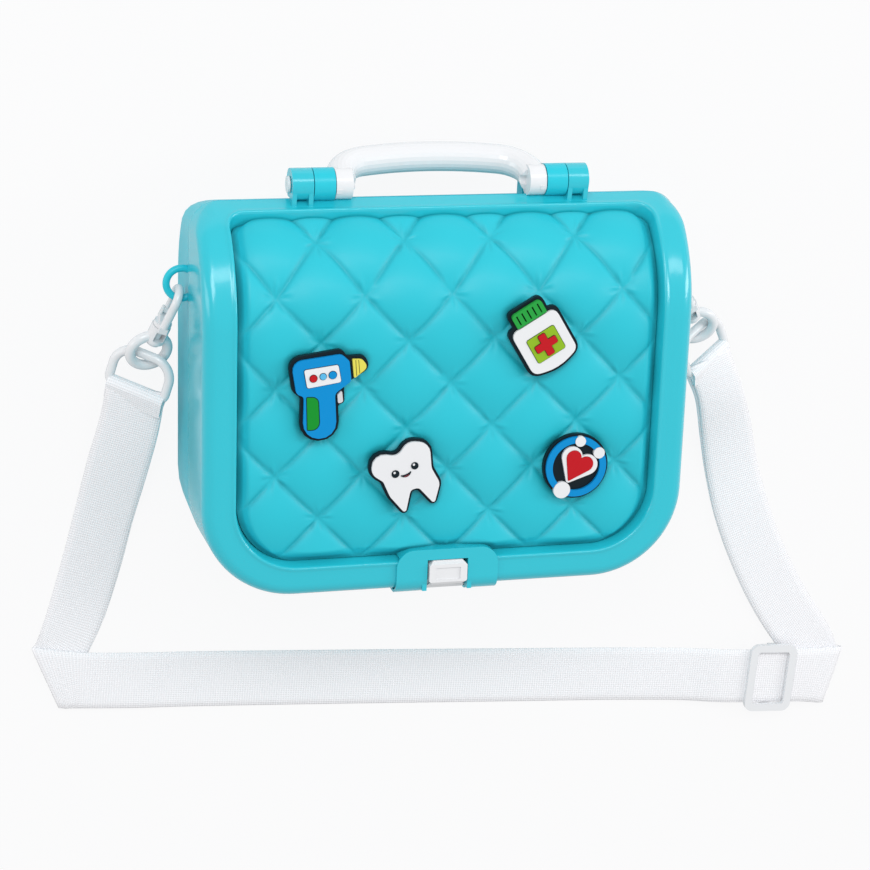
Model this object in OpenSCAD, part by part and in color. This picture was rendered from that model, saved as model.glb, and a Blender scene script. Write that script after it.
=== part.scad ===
// Toy doctor case: a purse-shaped two-shell case with a quilted cover, a swing handle,
// a spring latch, four push-in charms and a clip-on webbing strap.
// The case lies on its back: +Z comes out of the quilted cover, +Y points to the handle,
// and the origin is the centre of the flat back face.

/* [Case] */
// Width of the case
case_w = 242; // [220:1:270]
// Height of the case, from its bottom edge to its top edge
case_h = 188; // [176:1:210]
// Depth of the rear shell
rear_d = 46; // [42:1:54]
// Depth of the cover
cover_d = 39; // [36:1:44]
// Wall of both shells
wall = 2.4; // [1.8:0.1:3]
// Radius of the two bottom corners
bottom_r = 46; // [38:1:54]
// Radius of the two top corners
top_r = 14; // [10:1:18]
// Rounding of the cover's front edge
front_edge_r = 6.5; // [4:0.5:8]
// Rounding of the rear shell's back edge
back_edge_r = 8; // [5:0.5:10]
// Height at which the front starts to roll over towards the handle
roll_y = 39; // [30:1:48]
// Gap between the closed shells
part_gap = 0.3; // [0.2:0.1:0.5]

/* [Quilted panel] */
// Width of the smooth rim around the panel
rim_w = 16.5; // [14:0.5:20]
// Depth of the panel's stitch points below the rim
recess = 7; // [6:0.5:8]
// Height of the pillows above the stitch points
pillow_h = 5.4; // [4.4:0.2:6]
// Distance between stitch points along a row
quilt_px = 42.5; // [38:0.5:48]
// Distance between equal rows of stitch points
quilt_py = 43.3; // [38:0.1:48]
// Height of the row of stitch points nearest the middle
quilt_y0 = 9.9; // [0:0.1:20]
// Thickness of the panel at its stitch points
panel_t = 2; // [1.6:0.2:2.6]

/* [Hinge and handle] */
// Distance of the hinge axis beyond the top edge
hinge_up = 6.8; // [6:0.2:8]
// Radius of the hinge knuckles
knuckle_r = 7.8; // [7:0.2:9]
// Width of one knuckle
knuckle_w = 10.2; // [8:0.2:12]
// Distance from the middle of the case to the inner knuckle
knuckle_x = 52.2; // [48:0.2:56]
// Radius of the hinge pin
pin_r = 2.5; // [2:0.1:3]
// Radius of the handle's tube
grip_r = 7.2; // [6.4:0.2:8]
// Reach of the handle from its axis to the middle of its tube
grip_reach = 23.2; // [20:0.2:28]
// Angle by which the stored handle leans back from the plane of the parting line
grip_lean = 70; // [60:1:80]

/* [Latch] */
// Width of the latch boss
boss_w = 51; // [44:1:56]
// Height of the latch boss over the cover's front
boss_h = 22; // [20:0.5:24]
// How far the boss stands out of the cover
boss_proud = 1.5; // [1:0.1:2]
// Width of the latch tongue
tongue_w = 19; // [16:0.5:22]
// Thickness of the tongue's arm
tongue_t = 4; // [3:0.2:5]
// Height of the tongue's head over the front
head_h = 12.4; // [10:0.2:14]

/* [Strap and hooks] */
// Width of the webbing
web_w = 30; // [26:1:32]
// Thickness of the webbing
web_t = 1.4; // [1:0.1:1.6]
// Height of the side loops above the middle of the case
loop_y = 53.2; // [45:0.1:60]
// Radius of the side loops, to the middle of the wire
loop_r = 7.3; // [6.8:0.1:9]
// Radius of the side loops' wire
loop_wire = 1.75; // [1.5:0.05:2]
// Radius of the hook's rod
hook_rod = 2.1; // [1.8:0.1:2.4]
// Length of the hook from its crown to its swivel
hook_len = 17.5; // [16:0.5:20]
// Radius of the swivel ring, to the middle of the wire
swivel_r = 9.3; // [9.1:0.1:11]
// Radius of the swivel ring's wire
swivel_wire = 2.5; // [2:0.1:2.6]
// Radius of the strap ring's wire
dring_wire = 2.3; // [1.8:0.1:2.4]
// Thickness of the slider
slider_t = 6.4; // [6:0.2:8]

/* [Charms] */
// Thickness of a charm's dark base
charm_base = 2.6; // [2:0.2:3.4]
// Thickness of the coloured layer
charm_face = 1.4; // [1:0.2:2]
// Radius of the push-in stem
stem_r = 2.5; // [2:0.1:3]

/* [Hidden] */
$fn = 48;

// colours
teal = [0.18, 0.76, 0.83];
white = [0.94, 0.94, 0.96];
ink = [0.05, 0.12, 0.16];

// clearances
run_fit = 0.06;   // a shaft that turns in its bore
fixed_fit = 0.02; // a shaft that stays in its bore
air = 0.4;        // between pieces that move past each other
seat = 0.1;       // between pieces of one body that are fitted together

// ---------- shells ----------
half_w = case_w/2;
top_y = case_h/2;
front_z = rear_d + cover_d;
part_z = rear_d + part_gap;
// the front rolls over the top on an arc that meets the parting line at the top edge
roll_r = (pow(top_y - roll_y, 2) + pow(front_z - part_z, 2))/(2*(front_z - part_z));
roll_z = front_z - roll_r;
stitch_r = roll_r - recess;
stitch_z = front_z - recess;
// the rear shell rolls over the same way
back_r = rear_d - 1;
back_y = top_y - back_r;

corner_n = 9;   // steps round a bottom corner
top_n = 5;      // steps round a top corner
side_n = 8;     // steps along a side's rolled stretch
draft = 0.9;    // the walls lean in by this much

function lerp(a, b, t) = a + (b - a)*t;
function arc(c, r, a0, a1, n) = [for (k = [0:n]) c + r*[cos(lerp(a0, a1, k/n)), sin(lerp(a0, a1, k/n))]];
// heights along a straight side: evenly on a rolled sheet, as their sine on its plan
function side_y(y1, rolled, k) =
  let (end = atan2(top_y - top_r - roll_y, roll_r*0.75), f = k/side_n)
  rolled ? lerp(roll_y, y1, f) : roll_y + (y1 - roll_y)*sin(end*f)/sin(end);
// a rounded rectangle with the same number of points whatever its size
function loop(hw, y0, y1, r0, r1, rolled) =
  let (up = [for (k = [0:side_n - 1]) side_y(y1 - r1, rolled, k)])
  concat(
    arc([-hw + r0, y0 + r0], r0, 180, 270, corner_n),
    arc([hw - r0, y0 + r0], r0, 270, 360, corner_n),
    [for (y = up) [hw, y]],
    arc([hw - r1, y1 - r1], r1, 0, 90, top_n),
    arc([-hw + r1, y1 - r1], r1, 90, 180, top_n),
    [for (k = [side_n - 1:-1:0]) [-hw, up[k]]]);

function outline(u) = loop(half_w - u, -top_y + u, top_y - u, max(bottom_r - u, 1), max(top_r - u, 1), false);
function front_at(y, off = 0) = y <= roll_y ? front_z - off
  : roll_z + sqrt(max(pow(roll_r - off, 2) - pow(y - roll_y, 2), 0));
function back_at(y, off = 0) = y <= back_y ? off
  : back_r - sqrt(max(pow(back_r - off, 2) - pow(y - back_y, 2), 0));

// the panel's sheet: x, distance along the sheet, height above the stitch points
function bend(x, s, n) = s <= roll_y ? [x, s, stitch_z + n]
  : let (a = (s - roll_y)/stitch_r*180/PI)
    [x, roll_y + (stitch_r + n)*sin(a), roll_z + (stitch_r + n)*cos(a)];
panel_hw = half_w - rim_w;
panel_s0 = -top_y + rim_w - 0.4;
ridge_a = 60.5;   // where the ridge crosses the roll
panel_s1 = roll_y + stitch_r*ridge_a*PI/180;
panel_r0 = bottom_r - 15;
panel_r1 = top_r - 6;
function sheet(d, n) = [for (p = loop(panel_hw - d, panel_s0 + d, panel_s1 - d,
    panel_r0 - d, max(panel_r1 - d, 1.2), true)) bend(p.x, p.y, n)];

loop_n = len(outline(0));
// a closed skin through rings of equal length; ends are capped or joined
function strip(k, n, m) = [for (i = [0:n - 1]) let (j = (i + 1) % n) [k*n + i, k*n + j, m*n + j, m*n + i]];
// a cap is a ladder of rungs between the left and the right side
function ladder(k, n, up) = let (m = 2*corner_n + 1, first = corner_n + 1, last = m + side_n + top_n + 1)
  [for (i = [first:last - 1]) let (a = k + i, b = k + i + 1, c = k + (m - i - 1 + n) % n, d = k + (m - i + n) % n)
    up ? [a, b, c, d] : [d, c, b, a]];
module skin(rings, capped) {
  n = len(rings[0]);
  last = len(rings) - 1;
  sides = [for (k = [0:last - 1]) each strip(k, n, k + 1)];
  ends = capped ? concat(ladder(0, n, false), ladder(last*n, n, true)) : strip(last, n, 0);
  polyhedron(points = [for (r = rings) each r], faces = concat(sides, ends), convexity = 12);
}

// ---------- rear shell ----------
function rear_ring(u, z) = [for (p = outline(u)) [p.x, p.y, z]];
// the tray's side and its rounded back edge, where off is the distance from the outer skin
function rear_edge(off, a) = let (r = back_edge_r - off*0.6)
  [for (p = outline(off + draft + r*(1 - cos(a)))) [p.x, p.y, back_at(p.y, off) + r*(1 - sin(a))]];
function rear_floor(off, us) = [for (u = us) [for (p = outline(off + u)) [p.x, p.y, back_at(p.y, off)]]];
back_steps = [back_edge_r + draft + 2, 14.5, 19.5, 26, 36, 50];
back_in_steps = [back_edge_r + draft + 1.5, 17, 26, 36, 50];
function reversed(v) = [for (i = [len(v) - 1:-1:0]) v[i]];

module tray() {
  outside = concat([rear_ring(0, rear_d)], [for (a = [0, 30, 60, 90]) rear_edge(0, a)],
    rear_floor(0, back_steps));
  inside = concat([rear_ring(wall, rear_d)], [for (a = [0, 45, 90]) rear_edge(wall, a)],
    rear_floor(wall, back_in_steps));
  skin(concat(reversed(inside), outside), true);
}

// pieces that repeat left and right
module both() {
  children();
  mirror([1, 0, 0]) children();
}
// a solid drawn in the Y-Z plane between two values of x
module across(x0, x1) translate([x0, 0, 0]) rotate([90, 0, 90]) linear_extrude(x1 - x0) children();
module rod_x(r, x0, x1, y, z) translate([x0, y, z]) rotate([0, 90, 0]) cylinder(r = r, h = x1 - x0);

hinge_y = top_y + hinge_up;
hinge_z = rear_d + part_gap/2;
inner_x0 = knuckle_x;
inner_x1 = inner_x0 + knuckle_w;
outer_x0 = inner_x1 + air;
outer_x1 = outer_x0 + knuckle_w;
foot_w = 2.2;
foot_y = top_y - 3.1;
lug_r = knuckle_r - 0.4;
lug_x1 = inner_x0 - air;
lug_x0 = lug_x1 - 8.2;
grip_x = (lug_x0 + lug_x1)/2;
leg_x0 = grip_x - grip_r;
leg_x1 = grip_x + grip_r;
// the side of a stored leg that faces the rear shell, t from the axis
function leg_face(t, gap) = [hinge_y + t*cos(grip_lean) - (grip_r + gap)*sin(grip_lean),
  hinge_z - t*sin(grip_lean) - (grip_r + gap)*cos(grip_lean)];

// the latch pocket is shared by the rear shell, the boss and the tongue
pocket_x = tongue_w/2 + 0.7;
pocket_y = -top_y + 7.6;      // its inner wall in the rear shell
pocket_z0 = rear_d - 23;
pocket_wall = 2.2;
latch_y = -top_y + 3.4;
latch_z = rear_d - 16;
latch_pin_r = 1.5;
latch_lug_r = 3.2;

module knuckle_web() difference() {
  across(inner_x0, inner_x1) polygon([[hinge_y, hinge_z - 0.3], [top_y - 3, rear_d], [top_y - 5.5, rear_d - 12],
    [top_y - 3, rear_d - 20], [hinge_y + knuckle_r*0.62, hinge_z - knuckle_r*0.78]]);
  // room for the side of a swinging leg
  translate([inner_x0 - 1, hinge_y, hinge_z]) rotate([-grip_lean, 0, 0])
    translate([0, knuckle_r - 2.3, -grip_r - air]) cube([leg_x1 + air - inner_x0 + 1, 40, 60]);
}
module rear_shell() color(teal) difference() {
  union() {
    tray();
    // pocket that carries the latch tongue
    translate([-pocket_x - pocket_wall, -top_y + 1, pocket_z0 - pocket_wall])
      cube([2*(pocket_x + pocket_wall), pocket_y + top_y - 1 + pocket_wall, rear_d - pocket_z0 + pocket_wall]);
    both() {
      // inner knuckle on its web
      rod_x(knuckle_r, inner_x0, inner_x1, hinge_y, hinge_z);
      knuckle_web();
      side_loop();
      // pad that a stored leg rests against
      across(grip_x - 3.5, grip_x + 3.5) polygon([leg_face(6.5, air), [top_y - 3.6, leg_face(5.5, air).y],
        [top_y - 5, leg_face(15.5, air).y], [leg_face(13, air).x - 1, leg_face(15, air).y], leg_face(13, air)]);
    }
  }
  translate([-pocket_x, -top_y - 1, pocket_z0]) cube([2*pocket_x, pocket_y + top_y + 1, rear_d]);
  rod_x(latch_pin_r + fixed_fit, -pocket_x - 1.6, pocket_x + 1.6, latch_y, latch_z);
  both() {
    rod_x(pin_r + fixed_fit, inner_x0 - 1, inner_x1 + 1, hinge_y, hinge_z);
    rod_x(knuckle_r + air, outer_x0 - air, outer_x1 + air, hinge_y, hinge_z);
    rod_x(lug_r + air, leg_x0 - air, lug_x1 + air/2, hinge_y, hinge_z);
  }
}

// half ring that a hook clips into
loop_x = half_w + 2.6;
loop_z = rear_d - 5;
module side_loop() intersection() {
  translate([loop_x, loop_y, loop_z]) rotate_extrude() translate([loop_r, 0]) circle(loop_wire, $fn = 24);
  translate([half_w - 1.3, loop_y - 20, loop_z - 5]) cube([30, 40, 10]);
}

// ---------- cover ----------
edge_low = 0.4;
function wall_h(y) = max(front_at(y) - part_z, 0.7);
function edge_r(y) = min(front_edge_r, 0.7*wall_h(y));
// a step from the outline towards the ridge, in millimetres
function inward(i, u) = let (o = outline(0)[i], m = sheet(0, recess)[i], d = [m.x - o.x, m.y - o.y])
  o + d/norm(d)*u;
function cover_edge(a) = [for (i = [0:loop_n - 1])
  let (y0 = outline(0)[i].y, r = edge_r(y0), lean = min(draft, 0.1*wall_h(y0)),
    q = inward(i, lean + r*(1 - cos(a))))
  [q.x, q.y, max(part_z + edge_low, front_at(q.y) - r*(1 - sin(a)))]];
// the inner skin between the panel's ledge and the wall
function inner_step(t, drop) = [for (i = [0:loop_n - 1])
  let (a = sheet(-2.2, recess - wall)[i], b = outline(wall)[i], p = lerp([a.x, a.y], b, t))
  [p.x, p.y, max(part_z + edge_low/2, front_at(p.y, wall) - drop)]];

ledge_n = -panel_t - 0.2;    // top of the ledge that carries the panel
ledge_t = 2;
bead_h = 0.5;

module cover_ring() {
  skin(concat(
    [[for (p = outline(0)) [p.x, p.y, part_z]]],
    [for (a = [0, 22, 45, 68, 90]) cover_edge(a)],
    [sheet(-2.4, recess), sheet(-1, recess + bead_h), sheet(0.2, recess + bead_h*0.2),
     sheet(1.5, ledge_n), sheet(5, ledge_n), sheet(5, ledge_n - ledge_t),
     sheet(-1.8, ledge_n - ledge_t), sheet(-2.2, recess - wall)],
    [inner_step(0.65, 0), inner_step(1, 4), [for (p = outline(wall)) [p.x, p.y, part_z]]]), false);
}

module cover_frame() color(teal) difference() {
  cover_ring();
  chimney_hole(seat);
  both() {
    rod_x(knuckle_r + air, inner_x0 - air, inner_x1 + air, hinge_y, hinge_z);
    rod_x(lug_r + air, leg_x0 - air, lug_x1 + air, hinge_y, hinge_z);
  }
}
// outer knuckle: two feet, moulded into the cover's ledge, carry it
module hinge_ear() color(teal) difference() {
  union() {
    rod_x(knuckle_r, outer_x0, outer_x1, hinge_y, hinge_z);
    for (x = [outer_x0, outer_x1 - foot_w])
      across(x, x + foot_w) polygon([[hinge_y, hinge_z + knuckle_r - 0.1], [foot_y, front_at(foot_y) - 1.3],
        [foot_y, front_at(foot_y) - 3.6], [foot_y + 2, part_z + 0.9], [hinge_y, part_z + 0.9]]);
  }
  rod_x(pin_r + run_fit, outer_x0 - 1, outer_x1 + 1, hinge_y, hinge_z);
  // flat towards the case, between and below the feet
  translate([outer_x0 - 1, top_y - 3, 0]) cube([knuckle_w + 2, 3 + air, part_z + 0.9]);
  translate([outer_x0 + foot_w, top_y - 3, 0]) cube([knuckle_w - 2*foot_w, 3 + air, 2*front_z]);
}

// lattice of stitch points: u counts half pitches across, v counts half rows up the sheet
v_roll = 2;                 // rows above this one are further apart
roll_stretch = 1.228;
function v_of(s) = let (v = (s - quilt_y0)/(quilt_py/2)) v <= v_roll ? v : v_roll + (v - v_roll)/roll_stretch;
function s_of(v) = quilt_y0 + quilt_py/2*(v <= v_roll ? v : v_roll + (v - v_roll)*roll_stretch);
function pillow(x, s) =
  let (u = x/(quilt_px/2), v = v_of(s), a = abs(sin(90*(u + v))), b = abs(sin(90*(u - v))))
  pillow_h*(0.69*pow(a*b, 0.55) + 0.31*(a*a + b*b)/2);
function smooth(t) = let (c = min(max(t, 0), 1)) c*c*(3 - 2*c);

fit_d = 1.5 + seat;          // the panel's edge, inwards from the ridge
sheet_hw = panel_hw - fit_d;
sheet_s0 = panel_s0 + fit_d;
sheet_s1 = panel_s1 - fit_d;
sheet_r0 = panel_r0 - fit_d;
sheet_r1 = panel_r1 - fit_d;
function corner_in(d, r) = d >= r ? 0 : r - sqrt(r*r - pow(r - d, 2));
function row_hw(s) = sheet_hw - corner_in(max(s - sheet_s0, 0), sheet_r0) - corner_in(max(sheet_s1 - s, 0), sheet_r1);
function edge_fade(x, s) =
  let (d = min(row_hw(s) - abs(x), s - sheet_s0)) smooth((d + 0.6)/6.5);

row_div = 5;                 // rows and columns of facets to a half pitch
v_first = ceil(v_of(sheet_s0 + 2.5)*row_div);
v_last = floor(v_of(sheet_s1 - 3)*row_div);
panel_rows = concat([sheet_s0, sheet_s0 + 0.35, sheet_s0 + 1.1], [for (k = [v_first:v_last]) s_of(k/row_div)],
  [sheet_s1 - 1.6, sheet_s1 - 0.5, sheet_s1]);
col_step = quilt_px/2/row_div;
col_n = floor((sheet_hw - 0.3)/col_step);
panel_cols = concat([-1], [for (k = [-col_n:col_n]) k*col_step/sheet_hw], [1]);

module panel_sheet() {
  nr = len(panel_rows);
  nc = len(panel_cols);
  upper = [for (s = panel_rows) for (c = panel_cols)
    let (x = c*row_hw(s)) bend(x, s, 0.3 + pillow(x, s)*edge_fade(x, s))];
  lower = [for (s = panel_rows) for (c = [-1, 1]) bend(c*row_hw(s), s, -panel_t)];
  low = nr*nc;
  faces = concat(
    [for (i = [0:nr - 2]) for (j = [0:nc - 2])
      each [[i*nc + j, (i + 1)*nc + j, (i + 1)*nc + j + 1], [i*nc + j, (i + 1)*nc + j + 1, i*nc + j + 1]]],
    [for (i = [0:nr - 2]) [low + 2*i, low + 2*i + 1, low + 2*i + 3, low + 2*i + 2]],
    [for (i = [0:nr - 2]) [i*nc, low + 2*i, low + 2*i + 2, (i + 1)*nc]],
    [for (i = [0:nr - 2]) [i*nc + nc - 1, (i + 1)*nc + nc - 1, low + 2*i + 3, low + 2*i + 1]],
    [concat([low + 1, low], [for (j = [0:nc - 1]) j])],
    [concat([low + 2*nr - 2, low + 2*nr - 1], [for (j = [nc - 1:-1:0]) (nr - 1)*nc + j])]);
  polyhedron(points = concat(upper, lower), faces = faces, convexity = 12);
}

// charms sit on the middles of four pillows
charm_z = front_z - recess + pillow_h + 0.5;   // underside of a charm's base
stem_len = charm_z - (stitch_z - panel_t) + 1.6;
function pillow_at(i, j) = [i*quilt_px/2, quilt_y0 + j*quilt_py/2];
thermometer_at = pillow_at(-3, 0);
bottle_at = pillow_at(2, 1);
tooth_at = pillow_at(-1, -2);
badge_at = pillow_at(3, -2);

module quilted_panel() color(teal) difference() {
  panel_sheet();
  // the boss and the latch chimney pass through the lower border
  linear_extrude(2*front_z) boss_outline(seat);
  for (p = [thermometer_at, bottle_at, tooth_at, badge_at])
    translate([p.x, p.y, stitch_z - 10]) cylinder(r = stem_r + run_fit, h = 30);
}

// ---------- latch ----------
boss_y = -top_y + boss_h;
boss_low = -top_y - boss_proud;
boss_top = front_z + boss_proud;
notch_x = tongue_w/2 + 0.7;
notch_y = -top_y + head_h + 4.2;
boss_plate = 4.4;
notch_lean = 0.8;            // the notch's end wall leans over the tongue's barb
chimney_wall = 2.2;

module boss_outline(g = 0) {
  r = 9;
  for (x = [-1, 1]) translate([x*(boss_w/2 - r), boss_y - r]) circle(r + g);
  translate([-boss_w/2 - g, boss_low - 5]) square([boss_w + 2*g, boss_y - r - boss_low + 5]);
  translate([-boss_w/2 + r, boss_low - 5]) square([boss_w - 2*r, boss_y + g - boss_low + 5]);
}
// the boss wraps round the cover's lower front edge and fills the recess behind it
boss_skirt = front_z - 25;
module boss_profile() {
  r = front_edge_r + 2;
  in_r = front_edge_r;
  in_y = -top_y + in_r - seat;
  difference() {
    union() {
      translate([boss_low + r, boss_top - r]) circle(r);
      translate([boss_low + r, front_z - 3]) square([boss_y - boss_low - r, boss_top - front_z + 3]);
      translate([boss_low, boss_skirt]) square([r, boss_top - r - boss_skirt]);
    }
    // the rim
    translate([in_y, front_z + seat - in_r]) circle(in_r);
    translate([in_y, boss_skirt - 1]) square([boss_h, front_z + seat - boss_skirt + 1]);
    translate([in_y - in_r, boss_skirt - 1]) square([in_r + 1, front_z + seat - in_r - boss_skirt + 1]);
    // the bead on the rim's ridge
    translate([-top_y + rim_w - 3.2, front_z - 1]) square([4.7, 1 + bead_h + seat]);
  }
  translate([-top_y + rim_w + 1.4, stitch_z + ledge_n + seat])
    square([boss_h - rim_w - 1.4, boss_top - stitch_z - ledge_n - seat - 0.5]);
}
module chimney_hole(g) translate([-notch_x - chimney_wall - g, -top_y - 5, part_z - 1])
  cube([2*(notch_x + chimney_wall + g), notch_y + chimney_wall + g + top_y + 5, cover_d + 2]);
module latch_boss() color(teal) difference() {
  union() {
    intersection() {
      across(-boss_w, boss_w) boss_profile();
      linear_extrude(2*front_z) boss_outline();
    }
    translate([-notch_x - chimney_wall, -top_y + 0.6, part_z])
      cube([2*(notch_x + chimney_wall), notch_y + chimney_wall + top_y - 0.6, cover_d + 0.7]);
  }
  across(-notch_x, notch_x) polygon([[boss_low - 5, part_z - 1], [notch_y + notch_lean, part_z - 1],
    [notch_y + notch_lean, front_z - 6], [notch_y, boss_top], [notch_y, boss_top + 5], [boss_low - 5, boss_top + 5]]);
}

head_top = boss_top + 1.6;
arm_y = -top_y + 0.2;
module latch_tongue() color(white) difference() {
  r = 1.6;
  back = notch_y - air;
  union() {
    across(-tongue_w/2, tongue_w/2) {
      // arm
      polygon([[arm_y, latch_z - 3], [arm_y + tongue_t, latch_z - 3], [arm_y + tongue_t, front_z - 8],
        [arm_y + tongue_t + 2, front_z - 5], [arm_y + tongue_t + 2, front_z], [arm_y, front_z - 4]]);
      // head with its barb under the notch's leaning wall
      polygon([[back + notch_lean, front_z - 6], [back, boss_top], [back - 0.4, head_top - r], [back - r, head_top],
        [back - head_h + r, head_top], [back - head_h, head_top - r], [back - head_h, front_z - 2],
        [arm_y, front_z - 4], [arm_y, front_z - 9], [arm_y + tongue_t, front_z - 9], [arm_y + tongue_t + 3, front_z - 6]]);
    }
    rod_x(latch_lug_r, -tongue_w/2, tongue_w/2, latch_y, latch_z);
  }
  rod_x(latch_pin_r + run_fit, -tongue_w, tongue_w, latch_y, latch_z);
  // thumb recess in the head
  translate([-tongue_w/2 + 3.4, back - head_h + 2.8, head_top - 0.7]) cube([tongue_w - 6.8, head_h - 6.2, 5]);
  // corners of the head
  for (x = [-1, 1]) for (y = [back, back - head_h])
    translate([x*tongue_w/2, y, boss_top]) rotate([0, 0, 45]) cube([3.2, 3.2, 10], center = true);
}
module latch_pin() color(white) rod_x(latch_pin_r, -pocket_x - 1.5, pocket_x + 1.5, latch_y, latch_z);

// ---------- handle ----------
bow_r = 17;                  // bend at the shoulders
crown_a = 12;                // the grip is slightly arched
shoulder_x = grip_x - bow_r;
crown_r = (shoulder_x + bow_r*sin(crown_a))/sin(crown_a);
leg_len = grip_reach - bow_r*cos(crown_a) - crown_r*(1 - cos(crown_a));
nib_w = 3;
nib_h = 0.3;                 // the nib stays inside the reliefs of the shells

// the tube's centreline: x, y and the direction in which it runs
function side_path(m) = concat(
  [[m*grip_x, 0, 90], [m*grip_x, leg_len, 90]],
  [for (k = [1:8]) let (a = k/8*(90 - crown_a)) [m*(shoulder_x + bow_r*cos(a)), leg_len + bow_r*sin(a), 90 + m*a]],
  [for (k = [1:5]) let (a = crown_a*(1 - k/6)) [m*crown_r*sin(a), grip_reach - crown_r*(1 - cos(a)), 90 + m*(90 - a)]]);
grip_path = concat(side_path(1), [[0, grip_reach, 180]],
  [for (q = reversed(side_path(-1))) [q.x, q.y, q[2] + 180]]);
module grip_tube() {
  n = 24;
  last = len(grip_path) - 1;
  rings = [for (q = grip_path) [for (i = [0:n - 1]) let (a = 360*i/n)
    [q.x + grip_r*cos(a)*sin(q[2]), q.y - grip_r*cos(a)*cos(q[2]), grip_r*sin(a)]]];
  sides = [for (k = [0:last - 1]) each strip(k, n, k + 1)];
  polyhedron(points = [for (r = rings) each r],
    faces = concat(sides, [[for (i = [n - 1:-1:0]) i], [for (i = [0:n - 1]) last*n + i]]), convexity = 8);
}
module handle() color(white) translate([0, hinge_y, hinge_z]) rotate([-grip_lean, 0, 0]) difference() {
  union() {
    grip_tube();
    both() {
      rod_x(lug_r, lug_x0, lug_x1, 0, 0);
      translate([lug_x1 - nib_w, -lug_r - nib_h, -1]) cube([nib_w, lug_r, 2]);
    }
  }
  both() {
    rod_x(pin_r + run_fit, leg_x0 - 1, lug_x1 + 1, 0, 0);
    rod_x(knuckle_r + air, lug_x1, lug_x1 + grip_r, 0, 0);
  }
}

module hinge_pin() color(white) {
  rod_x(pin_r, lug_x0 + 0.2, outer_x1 + 1, hinge_y, hinge_z);
  rod_x(pin_r + 1.6, outer_x1 + air, outer_x1 + 1.4, hinge_y, hinge_z);
}

// ---------- hooks, swivels and rings ----------
// each chain hangs from its loop: the turn is measured from -Y outwards, the drop from the horizontal
chain_turn = [20.8, 29.9];
chain_drop = 22.7;
ring_turn = [14.5, 25.3];
ring_drop = 11;
swivel_twist = 17;
ring_twist = 22;

crown_in = loop_wire + 1.85;                 // inside radius of the hook's crown
crown_c = crown_in - loop_wire - 0.35;       // the wire lies against the crown
crown_mid = crown_in + hook_rod;
base_x = hook_len - 3;
collar_x0 = hook_len + 0.3;
collar_x1 = collar_x0 + 9.5;
collar_r = 4.8;
post_r = 2.2;
window_w = 5.6;
eye_x = collar_x1 + swivel_r - swivel_wire;
link_x = eye_x + swivel_r - swivel_wire - dring_wire - 1.5;

// +X of a chain runs from the loop's wire to the strap, +Z up
module chain(side) {
  k = side < 0 ? 0 : 1;
  translate([side*(loop_x + loop_r*sin(chain_turn[k])), loop_y - loop_r*cos(chain_turn[k]), loop_z])
    rotate([0, chain_drop, -90 + side*chain_turn[k]]) children();
}
gate_z = -crown_mid;
gate_px = base_x - 2.1;
gate_w = 2.4;
gate_pin_r = 0.8;

module hook_shape() difference() {
  union() {
    // crown, arm and nose
    translate([crown_c, 0, 0]) rotate([90, 0, 0]) rotate([0, 0, 90])
      rotate_extrude(angle = 180) translate([crown_mid, 0]) circle(hook_rod, $fn = 24);
    translate([crown_c, 0, crown_mid]) rotate([0, 90, 0]) cylinder(r = hook_rod, h = base_x - crown_c, $fn = 24);
    translate([crown_c, 0, -crown_mid]) rotate([0, 90, 0]) cylinder(r = hook_rod, h = 2.2, $fn = 24);
    // base with the gate's fork
    translate([base_x, -hook_rod, -crown_mid - hook_rod]) cube([3, 2*hook_rod, 2*(crown_mid + hook_rod)]);
    for (y = [-hook_rod, gate_w/2 + 0.15]) translate([gate_px, y, gate_z]) rotate([-90, 0, 0])
      cylinder(r = 2, h = hook_rod - gate_w/2 - 0.15, $fn = 24);
    for (y = [-hook_rod, gate_w/2 + 0.15]) translate([gate_px, y, gate_z - 2]) cube([base_x - gate_px + 0.5, hook_rod - gate_w/2 - 0.15, 4]);
    // swivel post with its rivet head
    translate([base_x + 1, 0, 0]) rotate([0, 90, 0]) cylinder(r = collar_r - 0.4, h = hook_len - base_x - 1);
    translate([base_x + 1, 0, 0]) rotate([0, 90, 0]) cylinder(r = post_r, h = collar_x1 + 1.9 - base_x - 1, $fn = 32);
    translate([collar_x1 + 0.3, 0, 0]) rotate([0, 90, 0]) cylinder(r = post_r + 1.1, h = 1.6, $fn = 32);
  }
  translate([gate_px, -5, gate_z]) rotate([-90, 0, 0]) cylinder(r = gate_pin_r + run_fit, h = 10, $fn = 24);
}
module gate_shape() {
  tip = crown_c + 2.2 + 0.35;
  translate([tip, 0, gate_z]) rotate([0, 90, 0]) cylinder(r = gate_w/2 + 0.2, h = gate_px - 2.3 - tip, $fn = 24);
  translate([gate_px - 3, -gate_w/2, gate_z - 1]) cube([3, gate_w, 2]);
  translate([gate_px, -gate_w/2, gate_z]) rotate([-90, 0, 0]) cylinder(r = 1.7, h = gate_w, $fn = 24);
  translate([gate_px, -hook_rod, gate_z]) rotate([-90, 0, 0]) cylinder(r = gate_pin_r, h = 2*hook_rod, $fn = 24);
}
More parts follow.
